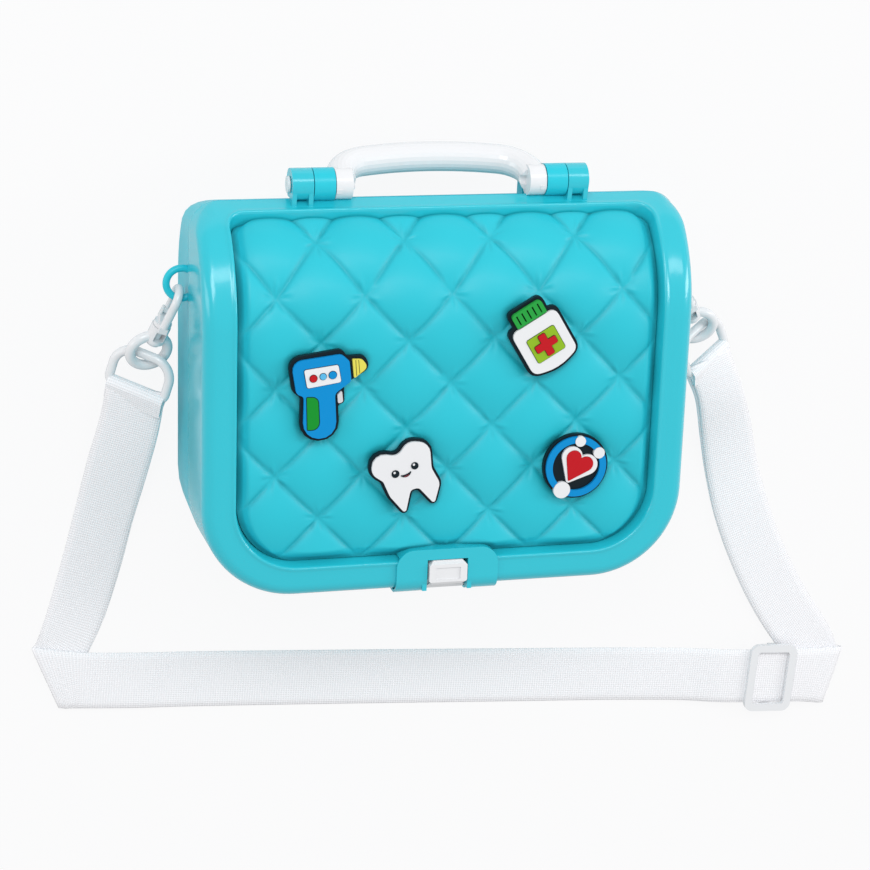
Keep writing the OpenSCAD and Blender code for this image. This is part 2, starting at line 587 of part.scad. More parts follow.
module swivel_shape() difference() {
  union() {
    translate([collar_x0, 0, 0]) rotate([0, 90, 0]) cylinder(r = collar_r, h = collar_x1 - collar_x0);
    translate([eye_x, 0, 0]) rotate([swivel_twist, 0, 0]) rotate_extrude() translate([swivel_r, 0]) circle(swivel_wire, $fn = 24);
  }
  translate([collar_x0 - 1, 0, 0]) rotate([0, 90, 0]) cylinder(r = post_r + run_fit, h = collar_x1 - collar_x0 + 2, $fn = 32);
  // room round the rivet head and for the hook's flange
  translate([collar_x1, 0, 0]) rotate([0, 90, 0]) cylinder(r = post_r + 1.6, h = 4, $fn = 32);
  // window that shows the hook's post
  rotate([swivel_twist, 0, 0]) translate([collar_x0 + 2, -window_w/2, -collar_r - 1])
    cube([collar_x1 - collar_x0 - 4, window_w, 2*collar_r + 2]);
}

// strap ring: a wide bow over a straight bar, x running from the bow at 0 to the bar
dring_w = web_w - 0.8;       // between the middles of its sides
dring_h = 20;
dring_bow = 10;
dring_r = 4;
module bend_of(x, y, r, a0) translate([x, y, 0]) rotate([0, 0, a0])
  rotate_extrude(angle = 90) translate([r, 0]) circle(dring_wire, $fn = 24);
module run_of(x, y, a, len) translate([x, y, 0]) rotate([0, 90, a]) cylinder(r = dring_wire, h = len, $fn = 24);
module strap_ring_shape() {
  w = dring_w/2;
  bend_of(dring_bow, w - dring_bow, dring_bow, 90);
  bend_of(dring_bow, dring_bow - w, dring_bow, 180);
  bend_of(dring_h - dring_r, w - dring_r, dring_r, 0);
  bend_of(dring_h - dring_r, dring_r - w, dring_r, 270);
  for (y = [-w, w]) run_of(dring_bow - 0.01, y, 0, dring_h - dring_r - dring_bow + 0.02);
  run_of(0, dring_bow - w - 0.01, 90, 2*(w - dring_bow) + 0.02);
  run_of(dring_h, dring_r - w - 0.01, 90, 2*(w - dring_r) + 0.02);
}
// +X of a ring runs from its bow to its bar; its outer side hangs lower
module ring_place(side) {
  k = side < 0 ? 0 : 1;
  chain(side) translate([link_x, 0, 0])
    rotate([0, 0, -side*(chain_turn[k] - ring_turn[k])]) rotate([0, ring_drop - chain_drop, 0])
    rotate([-side*ring_twist, 0, 0]) children();
}

module hook_left() color(white) chain(-1) hook_shape();
module hook_right() color(white) chain(1) hook_shape();
module gate_left() color(white) chain(-1) gate_shape();
module gate_right() color(white) chain(1) gate_shape();
module swivel_left() color(white) chain(-1) mirror([0, 1, 0]) swivel_shape();
module swivel_right() color(white) chain(1) swivel_shape();
module strap_ring_left() color(white) ring_place(-1) strap_ring_shape();
module strap_ring_right() color(white) ring_place(1) strap_ring_shape();

// ---------- strap ----------
// The strap lies flat on the floor. Each station gives the webbing's two edges and the height of
// its middle surface; a fold is a set of stations along the fold line.
z1 = web_t/2 + 0.1;          // first layer
z2 = z1 + web_t + 0.15;      // second layer
z3 = z2 + web_t + 0.15;
z4 = z3 + web_t + 0.15;
left_run = [
  [[-156, 0, 19.5], [-130, -4.5, 29.5]],
  [[-157, -6, 18.2], [-130.5, -11, 27.6]],
  [[-159.5, -22, 13], [-132.5, -29, 21]],
  [[-165, -45, 7], [-137, -54, 11]],
  [[-170, -68, 3], [-142.5, -78, 4]],
  [[-176.5, -95, z1], [-148.5, -104, z1]],
  [[-184, -122, z1], [-157, -131, z1]],
  [[-188.5, -136, z1], [-166, -151, z1]],
  [[-191.2, -143, z1], [-177, -174, z1]]];
left_fold = [
  [[-192.4, -144.6, z1 + 0.1], [-179, -178, z1 + 0.1]],
  [[-193.2, -145, (z1 + z2)/2], [-180, -178.6, (z1 + z2)/2]],
  [[-192.4, -144.8, z2 - 0.1], [-179, -178.4, z2 - 0.1]]];
floor_run = [
  [[-186, -146, z2], [-177, -178.8, z2]],
  [[-176, -147.8, z2], [-172.5, -179, z2]],
  [[-165, -149.4, z2], [-167, -179.4, z2]],
  [[-140, -151.2, z2], [-142, -181.2, z2]],
  [[-110, -153.2, z1 + 0.4], [-112, -183.2, z1 + 0.4]],
  [[-60, -156.4, z1], [-62, -186.4, z1]],
  [[0, -160.2, z1], [-2, -190.2, z1]],
  [[60, -164.1, z1], [58, -194.1, z1]],
  [[120, -168, z1], [118, -198, z1]],
  [[160, -170.6, z2], [158, -200.6, z2]],
  [[185, -172.2, z4], [183, -202.2, z4]],
  [[222, -174.6, z4], [220, -204.6, z4]]];
right_fold = [
  [[236, -175.4, z4], [231, -206, z4]],
  [[249.4, -175.4, z4], [240.6, -207.4, z4]],
  [[251.8, -175.5, (z1 + z4)/2], [243, -207.8, (z1 + z4)/2]],
  [[249.4, -175.3, z1], [240.6, -207, z1]]];
right_run = [
  [[246.5, -168.5, z1], [232, -195, z1]],
  [[240.5, -158.5, z1], [220, -180, z1]],
  [[231, -145, z1], [207, -163, z1]],
  [[221, -129, z1], [195.5, -145, z1]],
  [[211, -110, z1], [184, -123, z1]],
  [[201.5, -88, z1], [173, -97, z1]],
  [[193, -64, z1 + 0.4], [165, -71, z1 + 1]],
  [[186, -42, 5], [158, -47, 7.5]],
  [[176, -18, 13], [149, -23, 20.5]],
  [[167.5, -2, 17.8], [141, -9, 27.6]],
  [[164.8, 3.8, 19], [139, -3, 29.4]]];
// the second layer runs back from the right ring to the slider, on top of the first
return_run = [
  [[165.4, 4.2, 20.5], [140.4, -2, 31]],
  [[168.2, -1.6, 19.4], [142.4, -8.2, 29.1]],
  [[176.4, -17.4, 14.6], [150, -22.2, 22]],
  [[186.4, -41.6, 6.6], [158.8, -46.4, 9.1]],
  [[193, -64, 2.8], [165.4, -70.8, 3.4]],
  [[201.5, -88, z2], [173, -97, z2]],
  [[211, -110, z2], [184, -123, z2]],
  [[221, -129, z2], [195.5, -145, z2]],
  [[231, -145, z2], [207, -163, z2]],
  [[240.5, -158.5, z2], [220, -180, z2]],
  [[246.5, -168.5, z2], [232, -195, z2]],
  [[249, -175.1, z2], [240.2, -206.8, z2]],
  [[249.9, -175.4, (z2 + z3)/2], [241.1, -207.2, (z2 + z3)/2]],
  [[249, -175.6, z3], [240.2, -207.2, z3]],
  [[236, -175.4, z3], [231, -206, z3]],
  [[213, -174.1, z3], [211.2, -204, z3]]];

function mid(s) = (s[0] + s[1])/2;
function unit(v) = v/norm(v);
// thickness direction of each station, from its ruling and the way the webbing runs
function face_dir(st, i) =
  let (a = st[max(i - 1, 0)], b = st[min(i + 1, len(st) - 1)])
  unit(cross(mid(b) - mid(a), st[i][1] - st[i][0]));
module ribbon(st, t) {
  rings = [for (i = [0:len(st) - 1])
    let (n = face_dir(st, i)*t/2) [st[i][0] + n, st[i][1] + n, st[i][1] - n, st[i][0] - n]];
  last = len(rings) - 1;
  faces = concat(
    [for (k = [0:last - 1]) for (i = [0:3]) let (j = (i + 1) % 4)
      each [[k*4 + i, k*4 + j, (k + 1)*4 + j], [k*4 + i, (k + 1)*4 + j, (k + 1)*4 + i]]],
    [[3, 2, 1, 0], [last*4, last*4 + 1, last*4 + 2, last*4 + 3]]);
  polyhedron(points = [for (r = rings) each r], faces = faces, convexity = 8);
}
module strap() color(white) ribbon(concat(left_run, left_fold, floor_run, right_fold, right_run), web_t);
module strap_return() color(white) ribbon(return_run, web_t);

// slider: the webbing runs under the outer frame and over a middle bar that hangs from its two ends
slider_at = [209, -189.3];
slider_turn = -3.7;
slider_len = 27;
slider_w = web_w + 9;
slider_bar = 4.2;
slider_z = z4 + web_t/2 + 0.2;
bar_z = z3 - web_t/2 - 0.8;
bar_top = z3 + web_t/2;
module strap_slider() color(white) translate([slider_at.x, slider_at.y, 0]) rotate([0, 0, slider_turn]) {
  translate([0, 0, slider_z]) difference() {
    slab(slider_len, slider_w, 5, slider_t - 4);
    translate([0, 0, -1]) slab(slider_len - 2*slider_bar, slider_w - 2*slider_bar, 1.6, 12);
  }
  translate([-2, -slider_w/2 + 1, bar_z]) cube([4, slider_w - 2, bar_top - bar_z]);
  for (y = [-slider_w/2 + 1, web_w/2 + 0.6]) translate([-2.5, y, bar_z]) cube([5, slider_w/2 - web_w/2 - 1.6, slider_z - bar_z + 1]);
}
module slab(l, w, r, h) linear_extrude(h) union() {
  square([l - 2*r, w], center = true);
  square([l, w - 2*r], center = true);
  for (x = [-1, 1]) for (y = [-1, 1]) translate([x*(l/2 - r), y*(w/2 - r)]) circle(r);
}

// ---------- charms ----------
// a corner list [x, y, radius] turned into a rounded outline; grow moves it outwards
function turn(v, d) = [v.x*cos(d) - v.y*sin(d), v.x*sin(d) + v.y*cos(d)];
function vec(p, q) = unit([q.x - p.x, q.y - p.y]);
function rounded(c, steps = 4) = let (n = len(c)) [for (i = [0:n - 1])
  let (p = c[(i + n - 1) % n], q = c[i], s = c[(i + 1) % n], a = vec(q, p), b = vec(q, s),
    half = acos(min(max(a*b, -0.9999), 0.9999))/2, r = max(q[2], 0.05), d = r/tan(half),
    p0 = [q.x, q.y] + a*d, p1 = [q.x, q.y] + b*d, m = [q.x, q.y] + unit(a + b)*r/sin(half),
    a0 = atan2(p0.y - m.y, p0.x - m.x), a1 = atan2(p1.y - m.y, p1.x - m.x),
    da = ((a1 - a0) % 360 + 540) % 360 - 180)
  each [for (k = [0:steps]) m + r*[cos(a0 + da*k/steps), sin(a0 + da*k/steps)]]];
function grow(c, g) = let (n = len(c)) [for (i = [0:n - 1])
  let (p = c[(i + n - 1) % n], q = c[i], s = c[(i + 1) % n], a = vec(p, q), b = vec(q, s),
    na = [a.y, -a.x], nb = [b.y, -b.x], k = 1 + na*nb, bulge = cross([a.x, a.y], [b.x, b.y]) > 0 ? 1 : -1)
  [q.x + (na.x + nb.x)*g/k, q.y + (na.y + nb.y)*g/k, max(q[2] + bulge*g, 0.3)]];

face_z = charm_z + charm_base;
module at_charm(p, a) translate([p.x, p.y, 0]) rotate([0, 0, a]) children();
module layer(z, h) translate([0, 0, z]) linear_extrude(h) children();

// forehead thermometer
gun_back = [[-17.9, 17.6, 6.5], [9.2, 21.4, 4], [11.2, 17.7, 1.5], [20, 18, 4], [23, 11, 4], [10.4, 3.2, 2],
  [10.9, -5.9, 2.5], [7.8, -6.6, 1], [9, -24.6, 9.5], [-11.7, -23.8, 9.5], [-11.3, -2.4, 2.5], [-15.4, 0.6, 5]];
gun = [[-15.8, 15.6, 5], [8.2, 18.6, 3.5], [12, 15.2, 2], [13.2, 5.4, 2.5], [5.4, -0.4, 3], [6.8, -22.8, 7.6],
  [-9.6, -21.8, 7.6], [-9.4, -1.4, 2.2], [-13, -0.2, 3]];
nose = [[13.4, 16, 0.5], [18.2, 15.9, 3], [21.2, 11.9, 2.5], [14.4, 6.6, 0.5]];
grip_patch = [[-8.2, -1.7, 0.5], [-2.6, -1.9, 3], [-1.6, -18.1, 3.5], [-7.6, -17.8, 0.5]];
screen = [[-9.7, 11.6, 1], [6.6, 13.7, 1], [8.2, 5.3, 1], [-8, 2.75, 1]];
trigger = [[8.7, 1.2, 0.5], [9.4, -4.6, 1], [7, -5.4, 0.6], [6.6, -1.2, 1]];
// buttons on the screen: x, y, radius
red_button = [-5.2, 7.5, 1.7];
dark_button = [-0.6, 8.3, 1.5];
blue_button = [4, 8.9, 1.8];
function ccw(c) = reversed(c);
module outline_of(c, g = 0) polygon(rounded(grow(ccw(c), g)));
module stem(at) translate([at.x, at.y, charm_z - stem_len]) cylinder(r = stem_r, h = stem_len + 0.5, $fn = 32);
module thermometer(z, h) at_charm(thermometer_at, 0) layer(z, h) children();
module thermometer_base() color(ink) {
  thermometer(charm_z, charm_base) outline_of(gun_back, -0.5);
  stem(thermometer_at);
}
module thermometer_body() color([0.0, 0.58, 0.85]) thermometer(face_z, charm_face) difference() {
  outline_of(gun);
  outline_of(grip_patch, seat);
}
module thermometer_screen() color(white) thermometer(face_z + charm_face, 0.5) outline_of(screen);
module thermometer_buttons() color([0.78, 0.13, 0.12]) thermometer(face_z + charm_face + 0.5, 0.5)
  for (b = [red_button, dark_button, blue_button]) translate([b.x, b.y]) circle(b[2], $fn = 32);
module thermometer_nose() color([0.88, 0.87, 0.4]) thermometer(face_z, charm_face) outline_of(nose);
module thermometer_grip() color([0.03, 0.63, 0.2]) thermometer(face_z, charm_face) outline_of(grip_patch);
module thermometer_trigger() color([0.85, 0.85, 0.86]) thermometer(face_z, charm_face) outline_of(trigger);

// medicine bottle, drawn upright
bottle_turn = 31.3;
flask = [[-12.4, 12.2, 3.6], [12.4, 12.2, 3.6], [12.4, -11.6, 4], [0, -15.4, 24], [-12.4, -11.6, 4]];
cap = [[-8.15, 20.2, 2], [8.15, 20.2, 2], [8.15, 12.9, 0.5], [-8.15, 12.9, 0.5]];
flask_back = [[-10.2, 22.2, 3.6], [10.2, 22.2, 3.6], [10.2, 14.2, 0.2], [14.4, 14.2, 3.9], [14.4, -13.2, 6],
  [0, -17.4, 24], [-14.4, -13.2, 6], [-14.4, 14.2, 3.9], [-10.2, 14.2, 0.2]];
label = [[-7.6, 5.3, 1], [7.6, 5.3, 1], [7.6, -7.8, 1], [-7.6, -7.8, 1]];
cross_l = 5.7;               // half the length of the plus sign's arms
cross_w = 1.85;
plus_sign = [[-cross_w, cross_l, 0.7], [cross_w, cross_l, 0.7], [cross_w, cross_w, 0.3], [cross_l, cross_w, 0.7],
  [cross_l, -cross_w, 0.7], [cross_w, -cross_w, 0.3], [cross_w, -cross_l, 0.7], [-cross_w, -cross_l, 0.7],
  [-cross_w, -cross_w, 0.3], [-cross_l, -cross_w, 0.7], [-cross_l, cross_w, 0.7], [-cross_w, cross_w, 0.3]];
module bottle(z, h) at_charm(bottle_at, bottle_turn) translate([0.4, -1.2, 0]) layer(z, h) children();
module bottle_base() color(ink) {
  bottle(charm_z, charm_base) outline_of(flask_back, -0.5);
  stem(bottle_at);
}
module bottle_body() color(white) bottle(face_z, charm_face) outline_of(flask);
module bottle_cap() color([0.13, 0.62, 0.22]) bottle(face_z, charm_face + 0.6) difference() {
  outline_of(cap);
  for (k = [-2:2]) translate([k*2.9 - 0.35, 13.9]) square([0.7, 5]);
}
module bottle_label() color([0.5, 0.72, 0.14]) bottle(face_z + charm_face, 0.4) outline_of(label);
module bottle_cross() color([0.8, 0.12, 0.1]) bottle(face_z + charm_face + 0.4, 0.6)
  translate([0, -1.2]) outline_of(plus_sign);

// tooth with a plain smile
molar = [[-18.8, 12.6, 6], [-5.6, 10.2, 5], [-1.4, 17.6, 6], [9.6, 16.4, 6], [11, 3.6, 6], [15.4, -4, 5],
  [13, -14.6, 1], [5, -6, 2.5], [1, -6.8, 2.5], [-1.2, -18.9, 1], [-9, -10, 7], [-12.6, -2.2, 3],
  [-18.2, 1.6, 5]];
eyes = [[-6.8, 1.6, 1.65], [2.6, 5.3, 1.6]];
smile_at = [-2.9, 4.6];
smile_r = 5;
module tooth(z, h) at_charm(tooth_at, 0) layer(z, h) children();
module tooth_base() color(ink) {
  tooth(charm_z, charm_base) outline_of(molar, 1.3);
  stem(tooth_at);
}
module tooth_enamel() color(white) tooth(face_z, charm_face) outline_of(molar);
module tooth_face() color(ink) tooth(face_z + charm_face, 0.4) {
  for (e = eyes) translate([e.x, e.y]) circle(e[2], $fn = 24);
  translate([smile_at.x, smile_at.y]) rotate([0, 0, 22]) intersection() {
    difference() {
      circle(smile_r, $fn = 48);
      circle(smile_r - 0.8, $fn = 48);
    }
    translate([-3.4, -smile_r - 1]) square([6.8, 3]);
  }
}

// round badge with a heart
badge_r = 16.4;
badge_off = [-1.1, 0.5];
badge_turn = -29;
ring_out = 15.3;
ring_in = 12;
dots = [[1.5, 12.9, 2.65], [11.3, 6.6, 2.8], [-6.9, -11.5, 4.2]];
// two lobes and two sides that run to the tip: half the distance between the lobes' centres,
// their radius, the angle at which a side leaves its lobe, and the radius of the tip
lobe_y = 3.4;
border_heart = [4.5, 5.2, 41.5, 1.2];
red_heart = [3.5, 3.76, 35, 0.5];
module heart(h, g = 0) {
  r = h[1] + g;
  lobe = [h[0], lobe_y];
  tip = [0, lobe_y - (cos(h[2])*h[0] + h[1] - h[3])/sin(h[2])];
  cleft = 180 - acos(lobe.x/r);
  right = [for (k = [0:14]) let (a = cleft - (h[2] + cleft)*k/14) lobe + r*[cos(a), sin(a)]];
  point = [for (k = [1:5]) let (a = -h[2] + (2*h[2] - 180)*k/6) tip + (h[3] + g)*[cos(a), sin(a)]];
  left = [for (k = [14:-1:1]) [-right[k].x, right[k].y]];
  polygon(concat(right, point, left));
}
module badge(z, h) at_charm(badge_at + badge_off, 0) layer(z, h) children();
module badge_base() color(ink) {
  badge(charm_z, charm_base) circle(badge_r, $fn = 96);
  stem(badge_at);
}
module badge_ring() color([0.0, 0.5, 0.83]) badge(face_z, charm_face) difference() {
  circle(ring_out, $fn = 96);
  circle(ring_in, $fn = 96);
  for (p = dots) translate([p.x, p.y]) circle(p[2] + seat, $fn = 32);
}
module badge_border() color(white) badge(face_z, charm_face) difference() {
  rotate([0, 0, badge_turn]) difference() {
    heart(border_heart);
    heart(red_heart, seat);
  }
  for (p = dots) translate([p.x, p.y]) circle(p[2] + seat, $fn = 32);
}
module badge_heart() color([0.75, 0.08, 0.13]) badge(face_z, charm_face + 0.3) rotate([0, 0, badge_turn])
  heart(red_heart);
module badge_dots() color(white) badge(face_z, charm_face + 0.3) for (p = dots)
  translate([p.x, p.y]) circle(p[2], $fn = 32);

module hinge_ear_left() mirror([1, 0, 0]) hinge_ear();
module hinge_ear_right() hinge_ear();
module hinge_pin_left() mirror([1, 0, 0]) hinge_pin();
module hinge_pin_right() hinge_pin();

rear_shell();
cover_frame();
quilted_panel();
latch_boss();
latch_tongue();
latch_pin();
handle();
hinge_ear_left();
hinge_ear_right();
hinge_pin_left();
hinge_pin_right();
hook_left();
hook_right();
gate_left();
gate_right();
swivel_left();
swivel_right();
strap_ring_left();
strap_ring_right();
strap();
strap_return();
strap_slider();
thermometer_base();
thermometer_body();
thermometer_screen();
thermometer_buttons();
thermometer_nose();
thermometer_grip();
thermometer_trigger();
bottle_base();
bottle_body();
bottle_cap();
bottle_label();
bottle_cross();
tooth_base();
tooth_enamel();
tooth_face();
badge_base();
badge_ring();
badge_border();
badge_heart();
badge_dots();
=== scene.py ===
"""Toy doctor case: finish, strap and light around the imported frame."""
import math

import bpy
import numpy as np
from mathutils import Matrix, Vector


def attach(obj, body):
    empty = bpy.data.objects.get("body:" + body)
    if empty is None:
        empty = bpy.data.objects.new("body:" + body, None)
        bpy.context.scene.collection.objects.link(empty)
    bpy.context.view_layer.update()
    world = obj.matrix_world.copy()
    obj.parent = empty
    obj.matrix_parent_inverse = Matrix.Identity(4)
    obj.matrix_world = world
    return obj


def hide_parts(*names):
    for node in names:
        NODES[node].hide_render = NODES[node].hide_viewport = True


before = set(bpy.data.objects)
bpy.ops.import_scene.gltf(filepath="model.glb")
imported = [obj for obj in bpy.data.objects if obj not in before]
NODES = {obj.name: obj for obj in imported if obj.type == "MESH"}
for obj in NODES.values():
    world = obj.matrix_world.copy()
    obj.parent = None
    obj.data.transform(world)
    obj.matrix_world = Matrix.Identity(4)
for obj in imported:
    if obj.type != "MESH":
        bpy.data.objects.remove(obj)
MM = 0.001


def write_size():
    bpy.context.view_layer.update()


write_size()

# ---------- camera ----------
# fitted to the photograph: the camera's place, and the directions of its axes
CAM_AT = Vector((-297.7, 333.7, 1148.8)) * MM
CAM_RIGHT = Vector((0.9671, 0.0328, 0.2523))
CAM_UP = Vector((0.0458, 0.9531, -0.2992))
CAM_FORWARD = Vector((0.2503, -0.3009, -0.9202))
LENS = 100.07
SENSOR = 36.0

cam_data = bpy.data.cameras.new("camera")
cam_data.lens = LENS
cam_data.sensor_width = SENSOR
cam_data.clip_end = 20
cam = bpy.data.objects.new("camera", cam_data)
bpy.context.scene.collection.objects.link(cam)
cam.matrix_world = Matrix.Translation(CAM_AT) @ Matrix(
    (CAM_RIGHT, CAM_UP, -CAM_FORWARD)).transposed().to_4x4()
bpy.context.scene.camera = cam


# ---------- mesh helpers ----------
def new_mesh(name, verts, faces, uv=None, smooth=True):
    """An object from points in metres; uv holds one pair for each point."""
    mesh = bpy.data.meshes.new(name)
    mesh.from_pydata([tuple(v) for v in verts], [], [tuple(f) for f in faces])
    if uv is not None:
        layer = mesh.uv_layers.new(name="UVMap")
        for loop in mesh.loops:
            layer.data[loop.index].uv = uv[loop.vertex_index]
    mesh.polygons.foreach_set("use_smooth", [smooth] * len(mesh.polygons))
    mesh.validate()
    obj = bpy.data.objects.new(name, mesh)
    bpy.context.scene.collection.objects.link(obj)
    return obj


def grid_faces(rows, cols, closed=False):
    """Quads between rows of equal length; a closed row joins its last point to its first."""
    faces = []
    for i in range(rows - 1):
        for j in range(cols if closed else cols - 1):
            k = (j + 1) % cols
            faces.append((i * cols + j, i * cols + k, (i + 1) * cols + k, (i + 1) * cols + j))
    return faces


def split_edges(obj, angle):
    """Edges that turn by more than angle degrees look sharp."""
    mod = obj.modifiers.new("sharp", "EDGE_SPLIT")
    mod.split_angle = math.radians(angle)
    return obj


# ---------- materials ----------
# the sockets of a Mix node that mixes colours
MIX_FACTOR, MIX_A, MIX_B, MIX_RESULT = 0, 6, 7, 2
# plastic: how often its grain and its drift of colour repeat in a metre, and its ripple's height in metres
GRAIN_SCALE, GRAIN_DETAIL, GRAIN_ROUGHNESS = 500, 4, 0.06
DRIFT_SCALE, DRIFT_DETAIL = 14, 2
RIPPLE_STRENGTH, RIPPLE_HEIGHT = 0.03, 0.00005
COAT_ROUGHNESS = 0.12
# painted shade: a material's colour can darken in creases, where shade falls
# a crease is darkest where no more than this share of the way out of it is open, within this many metres
CREASE_SHADE_OPEN, CREASE_SHADE_REACH, CREASE_SHADE_RAYS = 0.55, 0.0035, 6


def material(name):
    mat = bpy.data.materials.new(name)
    mat.use_nodes = True
    nodes, links = mat.node_tree.nodes, mat.node_tree.links
    return mat, nodes, links, nodes["Principled BSDF"]


def plastic(name, colour, rough, coat, spec=0.5, tint=0.03, crease_shade=0.0):
    """Moulded plastic: fine grain in the roughness, a faint ripple and a slight drift of colour."""
    mat, nodes, links, bsdf = material(name)
    coords = nodes.new("ShaderNodeTexCoord")
    noise = nodes.new("ShaderNodeTexNoise")
    noise.inputs["Scale"].default_value = GRAIN_SCALE
    noise.inputs["Detail"].default_value = GRAIN_DETAIL
    drift = nodes.new("ShaderNodeTexNoise")
    drift.inputs["Scale"].default_value = DRIFT_SCALE
    drift.inputs["Detail"].default_value = DRIFT_DETAIL
    for texture in (noise, drift):
        links.new(coords.outputs["Object"], texture.inputs["Vector"])
    ramp = nodes.new("ShaderNodeMapRange")
    ramp.inputs["To Min"].default_value = rough - GRAIN_ROUGHNESS / 3
    ramp.inputs["To Max"].default_value = rough + GRAIN_ROUGHNESS / 3
    links.new(noise.outputs["Fac"], ramp.inputs["Value"])
    links.new(ramp.outputs["Result"], bsdf.inputs["Roughness"])
    mix = nodes.new("ShaderNodeMix")
    mix.data_type = "RGBA"
    mix.inputs[MIX_A].default_value = (*[c * (1 - tint) for c in colour], 1)
    mix.inputs[MIX_B].default_value = (*[min(1, c * (1 + tint)) for c in colour], 1)
    links.new(drift.outputs["Fac"], mix.inputs[MIX_FACTOR])
    links.new(mix.outputs[MIX_RESULT], bsdf.inputs["Base Color"])
    # painted shade: the colour darkens where ambient occlusion finds a crease
    if crease_shade:
        hollow = nodes.new("ShaderNodeAmbientOcclusion")
        hollow.samples = CREASE_SHADE_RAYS
        hollow.inputs["Distance"].default_value = CREASE_SHADE_REACH
        shade_depth = nodes.new("ShaderNodeMapRange")
        shade_depth.inputs["From Min"].default_value = CREASE_SHADE_OPEN
        shade_depth.inputs["To Min"].default_value = 1 - crease_shade
        painted_shade = nodes.new("ShaderNodeVectorMath")
        painted_shade.operation = "SCALE"
        links.new(hollow.outputs["AO"], shade_depth.inputs["Value"])
        links.new(mix.outputs[MIX_RESULT], painted_shade.inputs["Vector"])
        links.new(shade_depth.outputs["Result"], painted_shade.inputs["Scale"])
        links.new(painted_shade.outputs["Vector"], bsdf.inputs["Base Color"])
    bump = nodes.new("ShaderNodeBump")
    bump.inputs["Strength"].default_value = RIPPLE_STRENGTH
    bump.inputs["Distance"].default_value = RIPPLE_HEIGHT
    links.new(noise.outputs["Fac"], bump.inputs["Height"])
    links.new(bump.outputs["Normal"], bsdf.inputs["Normal"])
    bsdf.inputs["Coat Weight"].default_value = coat
    bsdf.inputs["Coat Roughness"].default_value = COAT_ROUGHNESS
    bsdf.inputs["Specular IOR Level"].default_value = spec
    return mat


# webbing: the pitch of its ribs and warp lines and the height of its relief in metres, the warp's share of
# that height, its own off-white with painted shade in its hollows and painted light on its ridges, and how
# much bluer than grey they are
RIB_PITCH, WARP_PITCH, WEAVE_HEIGHT = 0.0013, 0.0011, 0.0003
WARP_SHARE, WEAVE_STRENGTH = 0.6, 0.5
WEAVE_DISTORTION, WEAVE_DETAIL, WEAVE_DETAIL_SCALE = 0.6, 1, 0.8
WEAVE_SHADED, WEAVE_LIT, WEAVE_BLUE = 0.82, 0.95, 1.03
WEBBING_ROUGHNESS, WEBBING_SHEEN = 0.75, 0.25
# radians that Blender's wave texture turns in a metre, at a scale of 1
WAVE_RATE = 20


def webbing(name):
    """Woven tape: ribs across its width, crossed by finer warp lines; UVs are in metres."""
    mat, nodes, links, bsdf = material(name)
    uv = nodes.new("ShaderNodeUVMap")
    uv.uv_map = "UVMap"
    waves = []
    for axis, pitch in (("X", RIB_PITCH), ("Y", WARP_PITCH)):
        wave = nodes.new("ShaderNodeTexWave")
        wave.bands_direction = axis
        wave.inputs["Scale"].default_value = 2 * math.pi / pitch / WAVE_RATE
        wave.inputs["Distortion"].default_value = WEAVE_DISTORTION
        wave.inputs["Detail"].default_value = WEAVE_DETAIL
        wave.inputs["Detail Scale"].default_value = WEAVE_DETAIL_SCALE
        links.new(uv.outputs["UV"], wave.inputs["Vector"])
        waves.append(wave)
    ribs, warp = waves
    mix = nodes.new("ShaderNodeMath")
    mix.operation = "MULTIPLY_ADD"
    links.new(warp.outputs["Fac"], mix.inputs[0])
    mix.inputs[1].default_value = WARP_SHARE
    links.new(ribs.outputs["Fac"], mix.inputs[2])
    bump = nodes.new("ShaderNodeBump")
    bump.inputs["Strength"].default_value = WEAVE_STRENGTH
    bump.inputs["Distance"].default_value = WEAVE_HEIGHT
    links.new(mix.outputs[0], bump.inputs["Height"])
    links.new(bump.outputs["Normal"], bsdf.inputs["Normal"])
    # painted shade and light: the colour follows the weave's height, darker in its hollows and lighter on its
    # ridges
    shade = nodes.new("ShaderNodeMapRange")
    shade.inputs["From Max"].default_value = 1 + WARP_SHARE
    shade.inputs["To Min"].default_value = WEAVE_SHADED
    shade.inputs["To Max"].default_value = WEAVE_LIT
    links.new(mix.outputs[0], shade.inputs["Value"])
    tint = nodes.new("ShaderNodeCombineColor")
    cool = nodes.new("ShaderNodeMath")
    cool.operation = "MULTIPLY"
    cool.inputs[1].default_value = WEAVE_BLUE
    links.new(shade.outputs["Result"], cool.inputs[0])
    for channel in ("Red", "Green"):
        links.new(shade.outputs["Result"], tint.inputs[channel])
    links.new(cool.outputs[0], tint.inputs["Blue"])
    links.new(tint.outputs["Color"], bsdf.inputs["Base Color"])
    bsdf.inputs["Roughness"].default_value = WEBBING_ROUGHNESS
    bsdf.inputs["Sheen Weight"].default_value = WEBBING_SHEEN
    return mat


